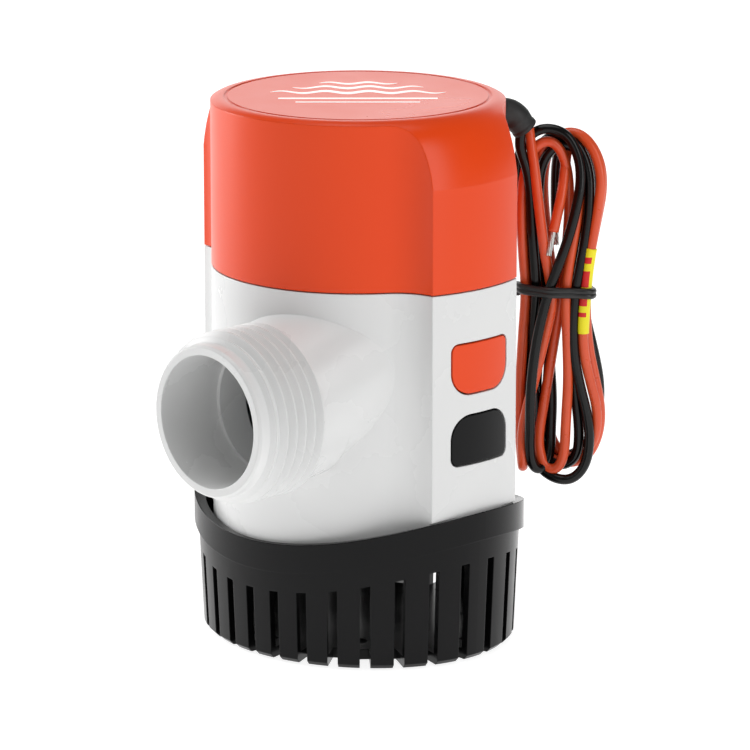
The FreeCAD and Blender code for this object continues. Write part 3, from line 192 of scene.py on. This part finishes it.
BLACK_TURNS = [
    (-5.6, 2.4, 75.8), (-6.3, 0.9, 66.0), (-6.2, -0.6, 55.0), (-5.6, -0.6, 45.0), (-4.6, -1.0, 37.5),
    (-1.8, -1.2, 33.6), (1.8, -0.6, 33.4), (4.4, 0.6, 36.4), (4.6, 1.6, 42.8), (3.7, 1.7, 50.5),
    (2.9, 1.3, 60.0), (3.0, 1.0, 68.0), (3.2, 0.9, 75.8), (4.3, 0.8, 84.0), (5.6, 0.6, 92.0),
    (6.3, 0.4, 100.0), (5.2, 0.2, 106.6), (2.2, -0.2, 110.2), (-1.8, -0.6, 109.8), (-4.8, -0.8, 105.4),
    (-5.4, -0.6, 97.0), (-4.4, -0.2, 86.0), (-2.8, 0.0, 75.8), (-2.6, -0.8, 62.0), (-1.6, -1.4, 50.0),
    (-1.9, -1.0, 42.0), (-2.0, -0.4, 36.8), (-3.3, 0.8, 33.2), (-5.8, 2.5, 33.2),
    (-7.1, 3.4, 37.0), (-7.0, 4.1, 45.0),
    (-7.0, 4.5, 51.5), (-6.5, 4.7, 58.5), (-5.3, 4.8, 67.0), (-3.3, 4.8, 75.3), (-0.8, 4.7, 82.4),
    (1.4, 4.6, 88.6), (3.2, 4.2, 95.5), (4.4, 3.5, 102.0), (3.9, 2.8, 108.0), (0.8, 2.2, 113.6),
    (-5.4, 1.6, 114.6), (-9.6, 0.8, 110.0), (-10.4, 0.0, 103.0), (-9.6, -0.8, 93.0), (-8.0, -1.6, 83.0),
    (-7.2, -1.8, 75.0), (-7.9, -2.2, 62.0), (-8.2, -2.6, 49.0), (-7.4, -1.8, 39.6), (-5.0, 0.4, 33.4),
    (-1.0, 1.7, 30.6), (3.2, 2.3, 30.6), (6.3, 2.7, 34.4), (7.1, 3.1, 41.0), (6.3, 3.4, 47.0),
    (4.6, 3.5, 53.6), (3.1, 3.6, 60.6), (2.8, 3.5, 67.6), (3.3, 3.4, 75.8), (4.4, 3.2, 81.8),
    (5.5, 2.9, 88.4), (6.4, 2.4, 96.5), (6.3, 1.7, 104.4), (3.9, 0.9, 110.2), (0.2, -0.4, 112.4),
    (-4.0, -1.6, 111.4), (-7.4, -2.8, 105.0), (-8.0, -3.4, 96.0), (-6.2, -3.6, 85.0), (-4.0, -2.8, 75.8),
    (-4.8, -4.2, 62.0), (-5.4, -4.8, 48.0), (-4.2, -4.8, 38.4), (-0.4, -4.8, 34.4), (4.0, -4.4, 35.0),
    (7.6, -3.2, 39.4), (9.4, -2.0, 47.0), (9.4, -1.4, 53.6), (7.9, -1.2, 61.0), (6.0, -1.5, 68.5),
    (4.8, -1.6, 76.0), (6.4, -2.2, 85.0), (7.6, -3.0, 94.0), (7.4, -3.8, 102.5), (6.2, -4.6, 108.0),
    (3.8, -5.1, 111.6), (0.7, -5.6, 111.0), (-1.0, -5.9, 106.4), (-1.2, -6.2, 98.0), (-1.0, -6.3, 90.9)]


def route_line(name, places):
    """The points down the middle of a lead, read from the smooth spline that its places pull."""
    route = in_hank(places)
    data = bpy.data.curves.new(name, "CURVE")
    data.dimensions = "3D"
    data.resolution_u = 8
    spline = data.splines.new("NURBS")
    spline.points.add(len(route) - 1)
    spline.points.foreach_set("co", np.column_stack([route, np.ones(len(route))]).ravel())
    spline.order_u = 3
    spline.use_endpoint_u = True
    mesh = bpy.data.meshes.new_from_object(bpy.data.objects.new(name, data))
    line = np.empty(len(mesh.vertices) * 3)
    mesh.vertices.foreach_get("co", line)
    return line.reshape(-1, 3)


def lead(name, line):
    """One insulated lead: a tube round the points of its route."""
    return merged(finished(name, *swept(line, LEAD_DIAMETER / 2, 16, TOWARD)))


STRAND_COUNT = 7
STRAND_RADIUS = 0.23 * MM
STRAND_CIRCLE = 0.42 * MM
STRAND_LAY = 9 * MM


def bare_end(name, line):
    """Stripped end: tinned strands laid round a middle one, fanning a little at the tip.

    Strand k follows the end's direction plus radius times (cos, sin) of its own angle plus the lay.
    """
    tip, before = line[-1], line[-6]
    along = (tip - before) / np.linalg.norm(tip - before)
    aside = np.cross(along, [0.2, 0.9, 0.1])
    aside /= np.linalg.norm(aside)
    upward = np.cross(aside, along)
    travel = np.linspace(-1.0, 5.8, 24) * MM
    bars, first = [], 0
    for strand in range(STRAND_COUNT):
        fan = 1 + 0.3 * np.clip(travel / (6 * MM), 0, 1) ** 2
        spread = (0.0 if strand == 0 else STRAND_CIRCLE) * fan
        angle = 2 * math.pi * (strand / (STRAND_COUNT - 1) + travel / STRAND_LAY)
        shift = (aside[None] * np.cos(angle)[:, None] + upward[None] * np.sin(angle)[:, None])
        path = tip + along * travel[:, None] + shift * spread[:, None]
        bar = swept(path, STRAND_RADIUS, 8, TOWARD, first)
        bars.append(bar)
        first += len(bar[0])
    return joined(name, bars)


SLEEVE_LOW = 65.5
SLEEVE_HIGH = 86.9
SLEEVE_WALL = 0.22 * MM
# Which part of the way round the sleeve its bars are, and how far they go to each side.
BAR_SIDE = 0.36
BAR_REACH = 0.17


def marker_sleeve(line):
    """Printed sleeve round the orange lead's last run, mapped round it and along its height."""
    rising = np.gradient(line[:, 2]) > 0
    low, high = SLEEVE_LOW * MM, SLEEVE_HIGH * MM
    inside = np.flatnonzero(rising & (line[:, 2] > low) & (line[:, 2] < high))
    last = inside[inside > inside[-1] - 60]
    run = line[last[0]:last[-1] + 1]
    rows, sides = 60, 32
    travel = np.concatenate([[0], np.cumsum(np.linalg.norm(np.diff(run, axis=0), axis=1))])
    at = np.linspace(0, travel[-1], rows)
    centre = np.stack([np.interp(at, travel, run[:, axis]) for axis in range(3)], axis=1)
    radius = LEAD_DIAMETER / 2 + SLEEVE_WALL
    points, faces = swept(centre, radius + 0.05 * MM * np.sin(at / (3.1 * MM)), sides, TOWARD)
    piece = finished("marker_sleeve", points, faces)
    layer = piece.data.uv_layers.new(name="UVMap")
    corner = np.empty(len(piece.data.loops), int)
    piece.data.loops.foreach_get("vertex_index", corner)
    row, column = corner // sides, corner % sides
    height = points.reshape(-1, 3)[corner, 2] / MM
    share = (height - SLEEVE_LOW) / (SLEEVE_HIGH - SLEEVE_LOW)
    layer.data.foreach_set("uv", np.column_stack([column / sides, share]).ravel())
    return merged(piece)


TIE_PLACES = [(-10.15, 0.6), (-9.2, 3.4), (-6.4, 5.3), (-3.2, 6.7), (-0.4, 6.2), (3.4, 5.3), (6.6, 5.0),
              (7.6, 3.0), (7.2, 0.2), (6.4, -2.4), (3.2, -4.2), (-1.6, -4.9), (-6.0, -4.4), (-9.2, -2.6)]


def tie_loop():
    """The tie's outline round the bundle: a closed smooth curve through its listed corners.

    Each corner is weighted by a raised cosine of its distance round the loop.
    """
    corners = np.array(TIE_PLACES + TIE_PLACES[:1])
    travel = np.linspace(0, len(TIE_PLACES), len(TIE_PLACES) * 12, endpoint=False)
    place = np.stack([np.interp(travel, np.arange(len(corners)), corners[:, axis]) for axis in (0, 1)], 1)
    kernel = np.hanning(17)[1:-1]
    kernel /= kernel.sum()
    padded = np.concatenate([place[-20:], place, place[:20]])
    smooth = np.stack([np.convolve(padded[:, axis], kernel, "same") for axis in (0, 1)], 1)
    return smooth[20:-20]


TIE_HEIGHT = 76.9
TIE_PITCH = 2.0
TIE_RADIUS = 0.78 * MM
TIE_END_RADIUS = 0.55 * MM


def hank_tie():
    """Two wraps of a thin black tie side by side, and its twisted ends at the back."""
    outline = tie_loop()
    count = len(outline)
    turns = np.arange(2 * count + 1)
    wrap = outline[turns % count]
    height = TIE_HEIGHT - TIE_PITCH * turns / (2 * count) + 0.25 * np.sin(turns / count * 2 * math.pi)
    height = height - 0.35 * wrap[:, 0] / 10
    path = in_hank(np.column_stack([wrap, height]))
    bars = [swept(path, TIE_RADIUS, 10, (0, 0, 1))]
    first = len(bars[0][0])
    twist = np.linspace(0, 1, 30)
    for side in (0, math.pi):
        angle = twist * 5 * math.pi + side
        place = np.column_stack([-9.8 - 0.6 * np.cos(angle), -2.4 - 5.5 * twist,
                                 75.8 + 0.6 * np.sin(angle) - 2 * twist])
        bar = swept(in_hank(place), TIE_END_RADIUS, 8, (0, 0, 1), first)
        bars.append(bar)
        first += len(bar[0])
    return joined("hank_band", bars)


def lead_boot():
    """Rubber boot: flange on the cap, stepped sleeve and a knee that points the leads down.

    A radius that changes along a bent centre line; the knee is an arc between two straight runs.
    """
    knee, end = np.array([37.0, 119.0]), np.array([40.7, 114.5])
    start = np.array([30.4, 119.0])
    out = (end - knee) / np.linalg.norm(end - knee)
    first, last = knee - np.array([2.2, 0]), knee + out * 2.2
    straight = start + (first - start) * np.linspace(0, 1, 22)[:, None]
    t = np.linspace(0, 1, 16)[1:, None]
    bend = (1 - t) ** 2 * first + 2 * t * (1 - t) * knee + t ** 2 * last
    tail = last + (end - last) * np.linspace(0, 1, 20)[1:, None]
    line = np.concatenate([straight, bend, tail])
    travel = np.concatenate([[0], np.cumsum(np.linalg.norm(np.diff(line, axis=0), axis=1))])
    even = np.linspace(0, travel[-1], 90)
    line = np.stack([np.interp(even, travel, line[:, axis]) for axis in (0, 1)], axis=1)
    radius = np.interp(even, [0, 3.0, 3.3, 4.4, 4.7, 7.0, 9.0, 11.1, 11.4, 12.3, 12.6],
                       [3.3, 3.35, 3.5, 3.5, 3.0, 3.1, 3.25, 2.95, 3.1, 3.1, 2.6])
    points = np.column_stack([line[:, 0] * math.cos(LEAD_BEARING), line[:, 0] * math.sin(LEAD_BEARING),
                              line[:, 1]]) * MM
    across = (-math.sin(LEAD_BEARING), math.cos(LEAD_BEARING), 0.0)
    return merged(finished("lead_boot", *swept(points, radius * MM, 32, across)))


# ---------------------------------------------------------------- printing on the cap

PRINT_BOTTOM = 124.88 * MM
PRINT_TOP = 124.96 * MM


def printed(name, shapes):
    """Thin printed marks on the cap's top: each outline raised straight from the bottom to the top."""
    points, faces, first = [], [], 0
    for outline in shapes:
        flat = np.asarray(outline, float) * MM
        count = len(flat)
        points.append(np.column_stack([flat, np.full(count, PRINT_BOTTOM)]))
        points.append(np.column_stack([flat, np.full(count, PRINT_TOP)]))
        faces.append(list(range(first, first + count)))
        faces.append(list(range(first + count, first + 2 * count)))
        corner = np.arange(count) + first
        after = (np.arange(count) + 1) % count + first
        faces += np.stack([corner, after, after + count, corner + count], axis=1).tolist()
        first += 2 * count
    piece = finished(name, np.concatenate(points), faces)
    piece.data.polygons.foreach_set("use_smooth", np.zeros(len(piece.data.polygons), bool))
    return piece


def wave_band(middle, half_length, swing, thickness, crests):
    """Outline of a wave: a sine of the distance along, thickened up and down, turned to the view."""
    along = np.linspace(-half_length, half_length, 80)
    rise = swing * np.sin(along / half_length * math.pi * crests)
    taper = thickness / 2 * np.cos(along / half_length * math.pi / 2) ** 0.5
    upper = np.column_stack([along, middle + rise + taper])
    lower = np.column_stack([along, middle + rise - taper])[::-1]
    return turned_to_front(np.concatenate([upper, lower[1:-1]]))


def turned_to_front(outline):
    """Turn a pattern on the cap's top so that its lines run across the view."""
    cosine, sine = math.cos(HANK_BEARING), math.sin(HANK_BEARING)
    matrix = np.array([[cosine, sine], [-sine, cosine]])
    return outline @ matrix


def cap_printing():
    """Generic printing: three waves over two plain rules."""
    shapes = [wave_band(14.5, 9.0, 1.1, 2.0, 2), wave_band(9.2, 15.0, 1.3, 2.3, 3),
              wave_band(3.2, 20.0, 1.3, 2.6, 4)]
    for middle, half, thick in ((-4.5, 18.0, 1.5), (-9.0, 14.0, 1.0)):
        corner = np.array([[-1, -1], [1, -1], [1, 1], [-1, 1]]) * [half, thick / 2]
        shapes.append(turned_to_front(corner + [0, middle]))
    return printed("cap_print", shapes)


# ---------------------------------------------------------------- materials

def linear(code):
    """An sRGB hex colour as linear red, green, blue and alpha."""
    parts = np.array([int(code[place:place + 2], 16) for place in (0, 2, 4)]) / 255
    return [*np.where(parts <= 0.04045, parts / 12.92, ((parts + 0.055) / 1.055) ** 2.4), 1.0]


def per_metre(size_mm):
    """How many pattern cells a metre holds when one is this many millimetres."""
    return 1000.0 / size_mm


def add(tree, kind, inputs=None, **settings):
    """Add a node with its settings; an input is a constant, or a socket to link."""
    item = tree.nodes.new(kind)
    for name, setting in settings.items():
        setattr(item, name, setting)
    for socket, setting in (inputs or {}).items():
        if isinstance(setting, bpy.types.NodeSocket):
            tree.links.new(setting, item.inputs[socket])
        else:
            item.inputs[socket].default_value = setting
    return item


def surface(name, dark, light, mottle_mm, rough, grain_mm, grain_height_mm, edge_mm=0.0, **sockets):
    """A material with two close colours in soft clouds, an uneven gloss and a fine grain."""
    material = bpy.data.materials.new(name)
    material.use_nodes = True
    tree = material.node_tree
    tree.nodes.clear()
    place = add(tree, "ShaderNodeTexCoord").outputs["Object"]
    clouds = add(tree, "ShaderNodeTexNoise",
                 {"Vector": place, "Scale": per_metre(mottle_mm), "Detail": 3.0})
    colour = add(tree, "ShaderNodeMix", {0: clouds.outputs["Fac"], 6: linear(dark), 7: linear(light)},
                 data_type="RGBA")
    smudge = add(tree, "ShaderNodeTexNoise",
                 {"Vector": place, "Scale": per_metre(mottle_mm * 0.4), "Detail": 5.0})
    gloss = add(tree, "ShaderNodeMapRange", {
        "Value": smudge.outputs["Fac"], "From Min": 0.3, "From Max": 0.7, "To Min": rough[0], "To Max": rough[1]})
    grain = add(tree, "ShaderNodeTexNoise",
                {"Vector": place, "Scale": per_metre(grain_mm), "Detail": 2.0})
    relief = {"Height": grain.outputs["Fac"], "Strength": 1.0, "Distance": grain_height_mm * MM}
    if edge_mm:
        relief["Normal"] = add(tree, "ShaderNodeBevel", {"Radius": edge_mm * MM}, samples=6).outputs[0]
    bump = add(tree, "ShaderNodeBump", relief)
    shader = add(tree, "ShaderNodeBsdfPrincipled", {
        "Base Color": colour.outputs[2], "Roughness": gloss.outputs[0], "Normal": bump.outputs[0], **sockets})
    add(tree, "ShaderNodeOutputMaterial", {"Surface": shader.outputs[0]})
    return material, shader


def paint(piece, material):
    """Give a piece one material in every slot."""
    data = piece.data
    if not data.materials:
        data.materials.append(material)
    for index in range(len(data.materials)):
        data.materials[index] = material


def housing_abs():
    """ABS, injection moulded in a polished tool: a clean white with a soft broad shine and faint flow."""
    return surface("moulded_white_abs", "E0E1E1", "EBEBEA", 60, (0.24, 0.32), 1.1, 0.004, 0.35,
                   IOR=1.53)[0]


def cap_abs():
    """ABS, injection moulded, coloured through: a strong orange whose shine stays broad and even."""
    return surface("moulded_orange_abs", "EC4204", "F24A08", 70, (0.26, 0.34), 1.2, 0.004, 0.4,
                   IOR=1.53, **{"Specular IOR Level": 0.3})[0]


def strainer_plastic():
    """Polypropylene, injection moulded, black: deep colour with a clear shine and a slight ripple."""
    return surface("moulded_black_polypropylene", "070708", "0D0D0E", 40, (0.16, 0.26), 2.4, 0.006, 0.3,
                   IOR=1.49, **{"Specular IOR Level": 0.18})[0]


def cartridge_nylon():
    """Glass-filled nylon, injection moulded: dull dark grey with a fibrous mottle."""
    return surface("moulded_grey_nylon", "44464A", "55575B", 3.0, (0.42, 0.6), 0.6, 0.02, 0.2,
                   IOR=1.53)[0]


def impeller_acetal():
    """Acetal, injection moulded: milky off-white, a little waxy."""
    return surface("moulded_acetal", "C4C4BE", "D6D5CF", 12, (0.3, 0.42), 0.9, 0.006, 0.25, IOR=1.48)[0]


def moulded_rubber():
    """Nitrile rubber, compression moulded: dusty black with hardly any shine."""
    return surface("moulded_nitrile_rubber", "141414", "222222", 6, (0.48, 0.68), 0.5, 0.02, 0.15,
                   IOR=1.52)[0]


def tie_plastic():
    """Plastic-coated tie wire, extruded: smooth black with a narrow shine."""
    return surface("extruded_black_tie", "101010", "1B1B1B", 5, (0.3, 0.42), 0.8, 0.01, IOR=1.5)[0]


def orange_insulation():
    """PVC insulation, extruded over stranded wire: red-orange with a soft shine."""
    return surface("extruded_orange_pvc", "D6481C", "E85A2C", 9, (0.26, 0.36), 0.7, 0.012, IOR=1.53,
                   **{"Subsurface Weight": 0.05, "Subsurface Radius": (0.002, 0.001, 0.0006),
                      "Subsurface Scale": 0.5})[0]


def black_insulation():
    """PVC insulation, extruded over stranded wire: black with a sharp bright streak along it."""
    return surface("extruded_black_pvc", "050505", "0B0A0A", 9, (0.15, 0.24), 0.7, 0.01, IOR=1.53,
                   **{"Specular IOR Level": 0.28})[0]


def tinned_copper():
    """Copper strands, drawn and hot tinned: pale silver with small dull patches."""
    return surface("tinned_copper_strand", "C9C9C6", "E9E9E6", 0.8, (0.22, 0.45), 0.3, 0.01,
                   Metallic=1.0)[0]


def stainless():
    """Stainless steel, drawn and ground: neutral grey with fine turning marks."""
    return surface("ground_stainless_steel", "8E8F90", "B4B5B6", 1.5, (0.2, 0.36), 0.25, 0.004, 0.1,
                   Metallic=1.0)[0]


def plated_steel():
    """Steel, deep drawn and zinc plated: cool grey with a cloudy passivated bloom."""
    return surface("zinc_plated_steel", "9CA1A4", "C0C4C8", 5, (0.28, 0.46), 0.5, 0.006, 0.2,
                   Metallic=1.0)[0]


def ferrite():
    """Strontium ferrite, pressed and sintered: charcoal, matt, with tiny pits."""
    return surface("sintered_ferrite", "2B2C2E", "3B3C3E", 1.6, (0.62, 0.8), 0.35, 0.03, 0.2)[0]


def bronze():
    """Tin bronze, sintered and oil filled: brown gold, dulled by its pores."""
    return surface("sintered_bronze", "7A5A33", "9A7646", 0.9, (0.4, 0.6), 0.3, 0.02, 0.1,
                   Metallic=1.0)[0]


def brush_carbon():
    """Electrographite, pressed: soft black with a graphite glint."""
    return surface("pressed_graphite", "1C1C1D", "2C2C2E", 0.7, (0.4, 0.62), 0.25, 0.01, 0.1)[0]


def terminal_brass():
    """Brass strip, stamped: warm yellow with rolling marks."""
    return surface("stamped_brass", "B08D45", "CFAE62", 1.2, (0.2, 0.36), 0.3, 0.004, 0.1,
                   Metallic=1.0)[0]


def commutator_copper():
    """Copper bars, turned and run in: salmon with a brown film where the brushes ride."""
    return surface("turned_copper_bar", "8A4A33", "BE7350", 1.0, (0.22, 0.4), 0.3, 0.004, 0.1,
                   Metallic=1.0)[0]


def banded(name, dark, light, band_mm, height_mm, rough, **sockets):
    """A material laid in fine level bands, such as a stack of sheets or a layer of wire."""
    material, shader = surface(name, dark, light, 4, rough, 0.4, 0.004, **sockets)
    tree = material.node_tree
    place = add(tree, "ShaderNodeTexCoord").outputs["Object"]
    # A wave texture turns through twenty radians for each unit of its scale.
    scale = 2 * math.pi * per_metre(band_mm) / 20
    bands = add(tree, "ShaderNodeTexWave", {"Vector": place, "Scale": scale, "Distortion": 0.4},
                bands_direction="Z")
    relief = add(tree, "ShaderNodeBump", {"Height": bands.outputs["Fac"], "Distance": height_mm * MM})
    tree.links.new(relief.outputs[0], shader.inputs["Normal"])
    return material


def laminations():
    """Silicon steel sheets, stamped and stacked: blue-grey edges in level lines.

    Real sheets are 0.5 mm thick, and the lines are drawn coarser so that they show.
    """
    return banded("stacked_lamination_steel", "4A4E54", "6A6F76", 3.1416, 0.05, (0.34, 0.5), Metallic=1.0)


def windings():
    """Enamelled copper wire, wound: glossy red-brown turns side by side.

    Real wire is 0.45 mm thick, and the turns are drawn coarser so that they show.
    """
    return banded("wound_enamelled_copper", "6E2A16", "9A3F22", 2.8274, 0.15, (0.16, 0.26),
                   **{"Coat Weight": 0.5})


def cap_ink_with_painted_glow():
    """Pad-printing ink on ABS: a thin pale film, matt beside the plastic. Its faint pinkish emission is a painted
    glow that makes the print read brighter than the lamps make it.
    """
    return surface("pad_print_ink_painted_glow", "FFFFFF", "FFFFFF", 6, (0.5, 0.6), 0.4, 0.004,
                   # Painted glow: the emission makes the ink give off light of its own so that it looks whiter.
                   **{"Emission Color": linear("FFE9E2"), "Emission Strength": 0.35})[0]


def sleeve_print():
    """PVC marker sleeve, printed: yellow ground with plain red bars on one side, and no lettering."""
    material, shader = surface("printed_yellow_pvc", "F2E500", "FFF200", 4,
                               (0.38, 0.5), 0.6, 0.008, IOR=1.53)
    tree = material.node_tree
    yellow = shader.inputs["Base Color"].links[0].from_socket
    parts = add(tree, "ShaderNodeSeparateXYZ", {0: add(tree, "ShaderNodeTexCoord").outputs["UV"]})
    bars = add(tree, "ShaderNodeValToRGB", {"Fac": parts.outputs["Y"]})
    bars.color_ramp.interpolation = "CONSTANT"
    steps = [(0.0, 0), (0.22, 1), (0.27, 0), (0.34, 1), (0.42, 0), (0.55, 1), (0.73, 0), (0.81, 1),
             (0.88, 0)]
    ramp = bars.color_ramp.elements
    while len(ramp) < len(steps):
        ramp.new(0.5)
    for element, (position, level) in zip(ramp, steps):
        element.position = position
        element.color = (level, level, level, 1)
    side = add(tree, "ShaderNodeMath", {0: parts.outputs["X"], 1: BAR_SIDE, 2: BAR_REACH},
               operation="COMPARE")
    mask = add(tree, "ShaderNodeMath", {0: side.outputs[0], 1: bars.outputs["Color"]},
               operation="MULTIPLY")
    mixed = add(tree, "ShaderNodeMix", {0: mask.outputs[0], 6: yellow, 7: linear("DE1410")},
                data_type="RGBA")
    tree.links.new(mixed.outputs[2], shader.inputs["Base Color"])
    return material


# ---------------------------------------------------------------- studio

def area_light(name, place, aim, size, power, colour=(1.0, 1.0, 1.0)):
    """A soft rectangular light that faces a point."""
    data = bpy.data.lights.new(name, "AREA")
    data.shape = "RECTANGLE"
    data.size, data.size_y = size
    data.energy = power
    data.color = colour
    lamp = bpy.data.objects.new(name, data)
    lamp.location = place
    direction = np.array(aim, float) - np.array(place, float)
    heading = math.atan2(direction[1], direction[0])
    drop = math.atan2(direction[2], math.hypot(direction[0], direction[1]))
    lamp.rotation_euler = (math.pi / 2 + drop, 0, heading - math.pi / 2)
    bpy.context.scene.collection.objects.link(lamp)


def studio():
    """Pale seamless floor, an even bright surround and large soft boxes."""
    floor = bpy.data.objects.new("floor", bpy.data.meshes.new("floor"))
    side = np.array([[-1, -1], [1, -1], [1, 1], [-1, 1]]) * 6.0
    floor.data.from_pydata(np.column_stack([side, np.full(4, -0.0004)]).tolist(), [], [[0, 1, 2, 3]])
    bpy.context.scene.collection.objects.link(floor)
    material, shader = surface("backlit_acrylic_sweep", "A8A8A8", "ACACAC", 400, (0.75, 0.85), 2.0, 0.01)
    shader.inputs["Emission Color"].default_value = (1, 1, 1, 1)
    shader.inputs["Emission Strength"].default_value = 0.88
    paint(floor, material)

    world = bpy.data.worlds.new("surround")
    world.use_nodes = True
    world.node_tree.nodes["Background"].inputs["Color"].default_value = (1, 1, 1, 1)
    world.node_tree.nodes["Background"].inputs["Strength"].default_value = 0.2
    bpy.context.scene.world = world

    aim = (0.0, 0.0, 0.06)
    area_light("left_box", (-1.05, -0.38, 0.40), aim, (0.45, 0.9), 8.2)
    area_light("right_box", (1.0, 0.10, 0.40), aim, (0.35, 0.9), 3.1)
    area_light("top_box", (0.0, -0.1, 0.9), aim, (0.7, 0.7), 2.8)
    area_light("back_box", (-1.2, 1.2, 0.55), aim, (2.2, 0.9), 8.0)


# ---------------------------------------------------------------- making

make_camera()

orange_line = route_line("orange_route", ORANGE_FREE + ORANGE_TURNS)
black_line = route_line("black_route", BLACK_FREE + BLACK_TURNS)
orange, black = lead("orange_wire", orange_line), lead("black_wire", black_line)
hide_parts("lead_orange", "wire_hank")
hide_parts("lead_black")
orange_tip = bare_end("bare_strands_orange", orange_line)
black_tip = bare_end("bare_strands_black", black_line)
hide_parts("bare_end_orange")
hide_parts("bare_end_black")
sleeve = marker_sleeve(orange_line)
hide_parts("lead_marker")
tie = hank_tie()
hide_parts("hank_tie")
boot = lead_boot()
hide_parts("wire_boot")
print_marks = cap_printing()

MATERIALS = {
    housing_abs: ["pump_body", "inlet_plate"],
    cap_abs: ["cap", "cap_latch_right", "cap_latch_left"],
    strainer_plastic: ["strainer_base", "strainer_latch_right", "strainer_latch_left"],
    cartridge_nylon: ["motor_cartridge", "end_bell", "thrust_washers"],
    impeller_acetal: ["impeller"],
    moulded_rubber: ["cartridge_o_ring", "shaft_seal"],
    stainless: ["cartridge_screws", "shaft", "impeller_clip", "brush_springs"],
    plated_steel: ["motor_can"],
    ferrite: ["magnet_right", "magnet_left"],
    bronze: ["lower_bearing", "upper_bearing"],
    brush_carbon: ["brush_right", "brush_left"],
    terminal_brass: ["motor_terminals"],
    commutator_copper: ["commutator"],
    laminations: ["armature_core"],
    windings: ["armature_windings"],
}
for make, names in MATERIALS.items():
    material = make()
    for name in names:
        paint(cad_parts[name], material)

for piece, make, slot in ((orange, orange_insulation, "orange_insulation"),
                          (black, black_insulation, "black_insulation"),
                          (sleeve, sleeve_print, "yellow_sleeve"), (tie, tie_plastic, "tie_plastic"),
                          (boot, moulded_rubber, "black_rubber"),
                          (print_marks, cap_ink_with_painted_glow, "white_plastic")):
    paint(piece, make())
ends = tinned_copper()
for piece in (orange_tip, black_tip):
    paint(piece, ends)

studio()
bpy.context.scene.view_settings.view_transform = "Standard"
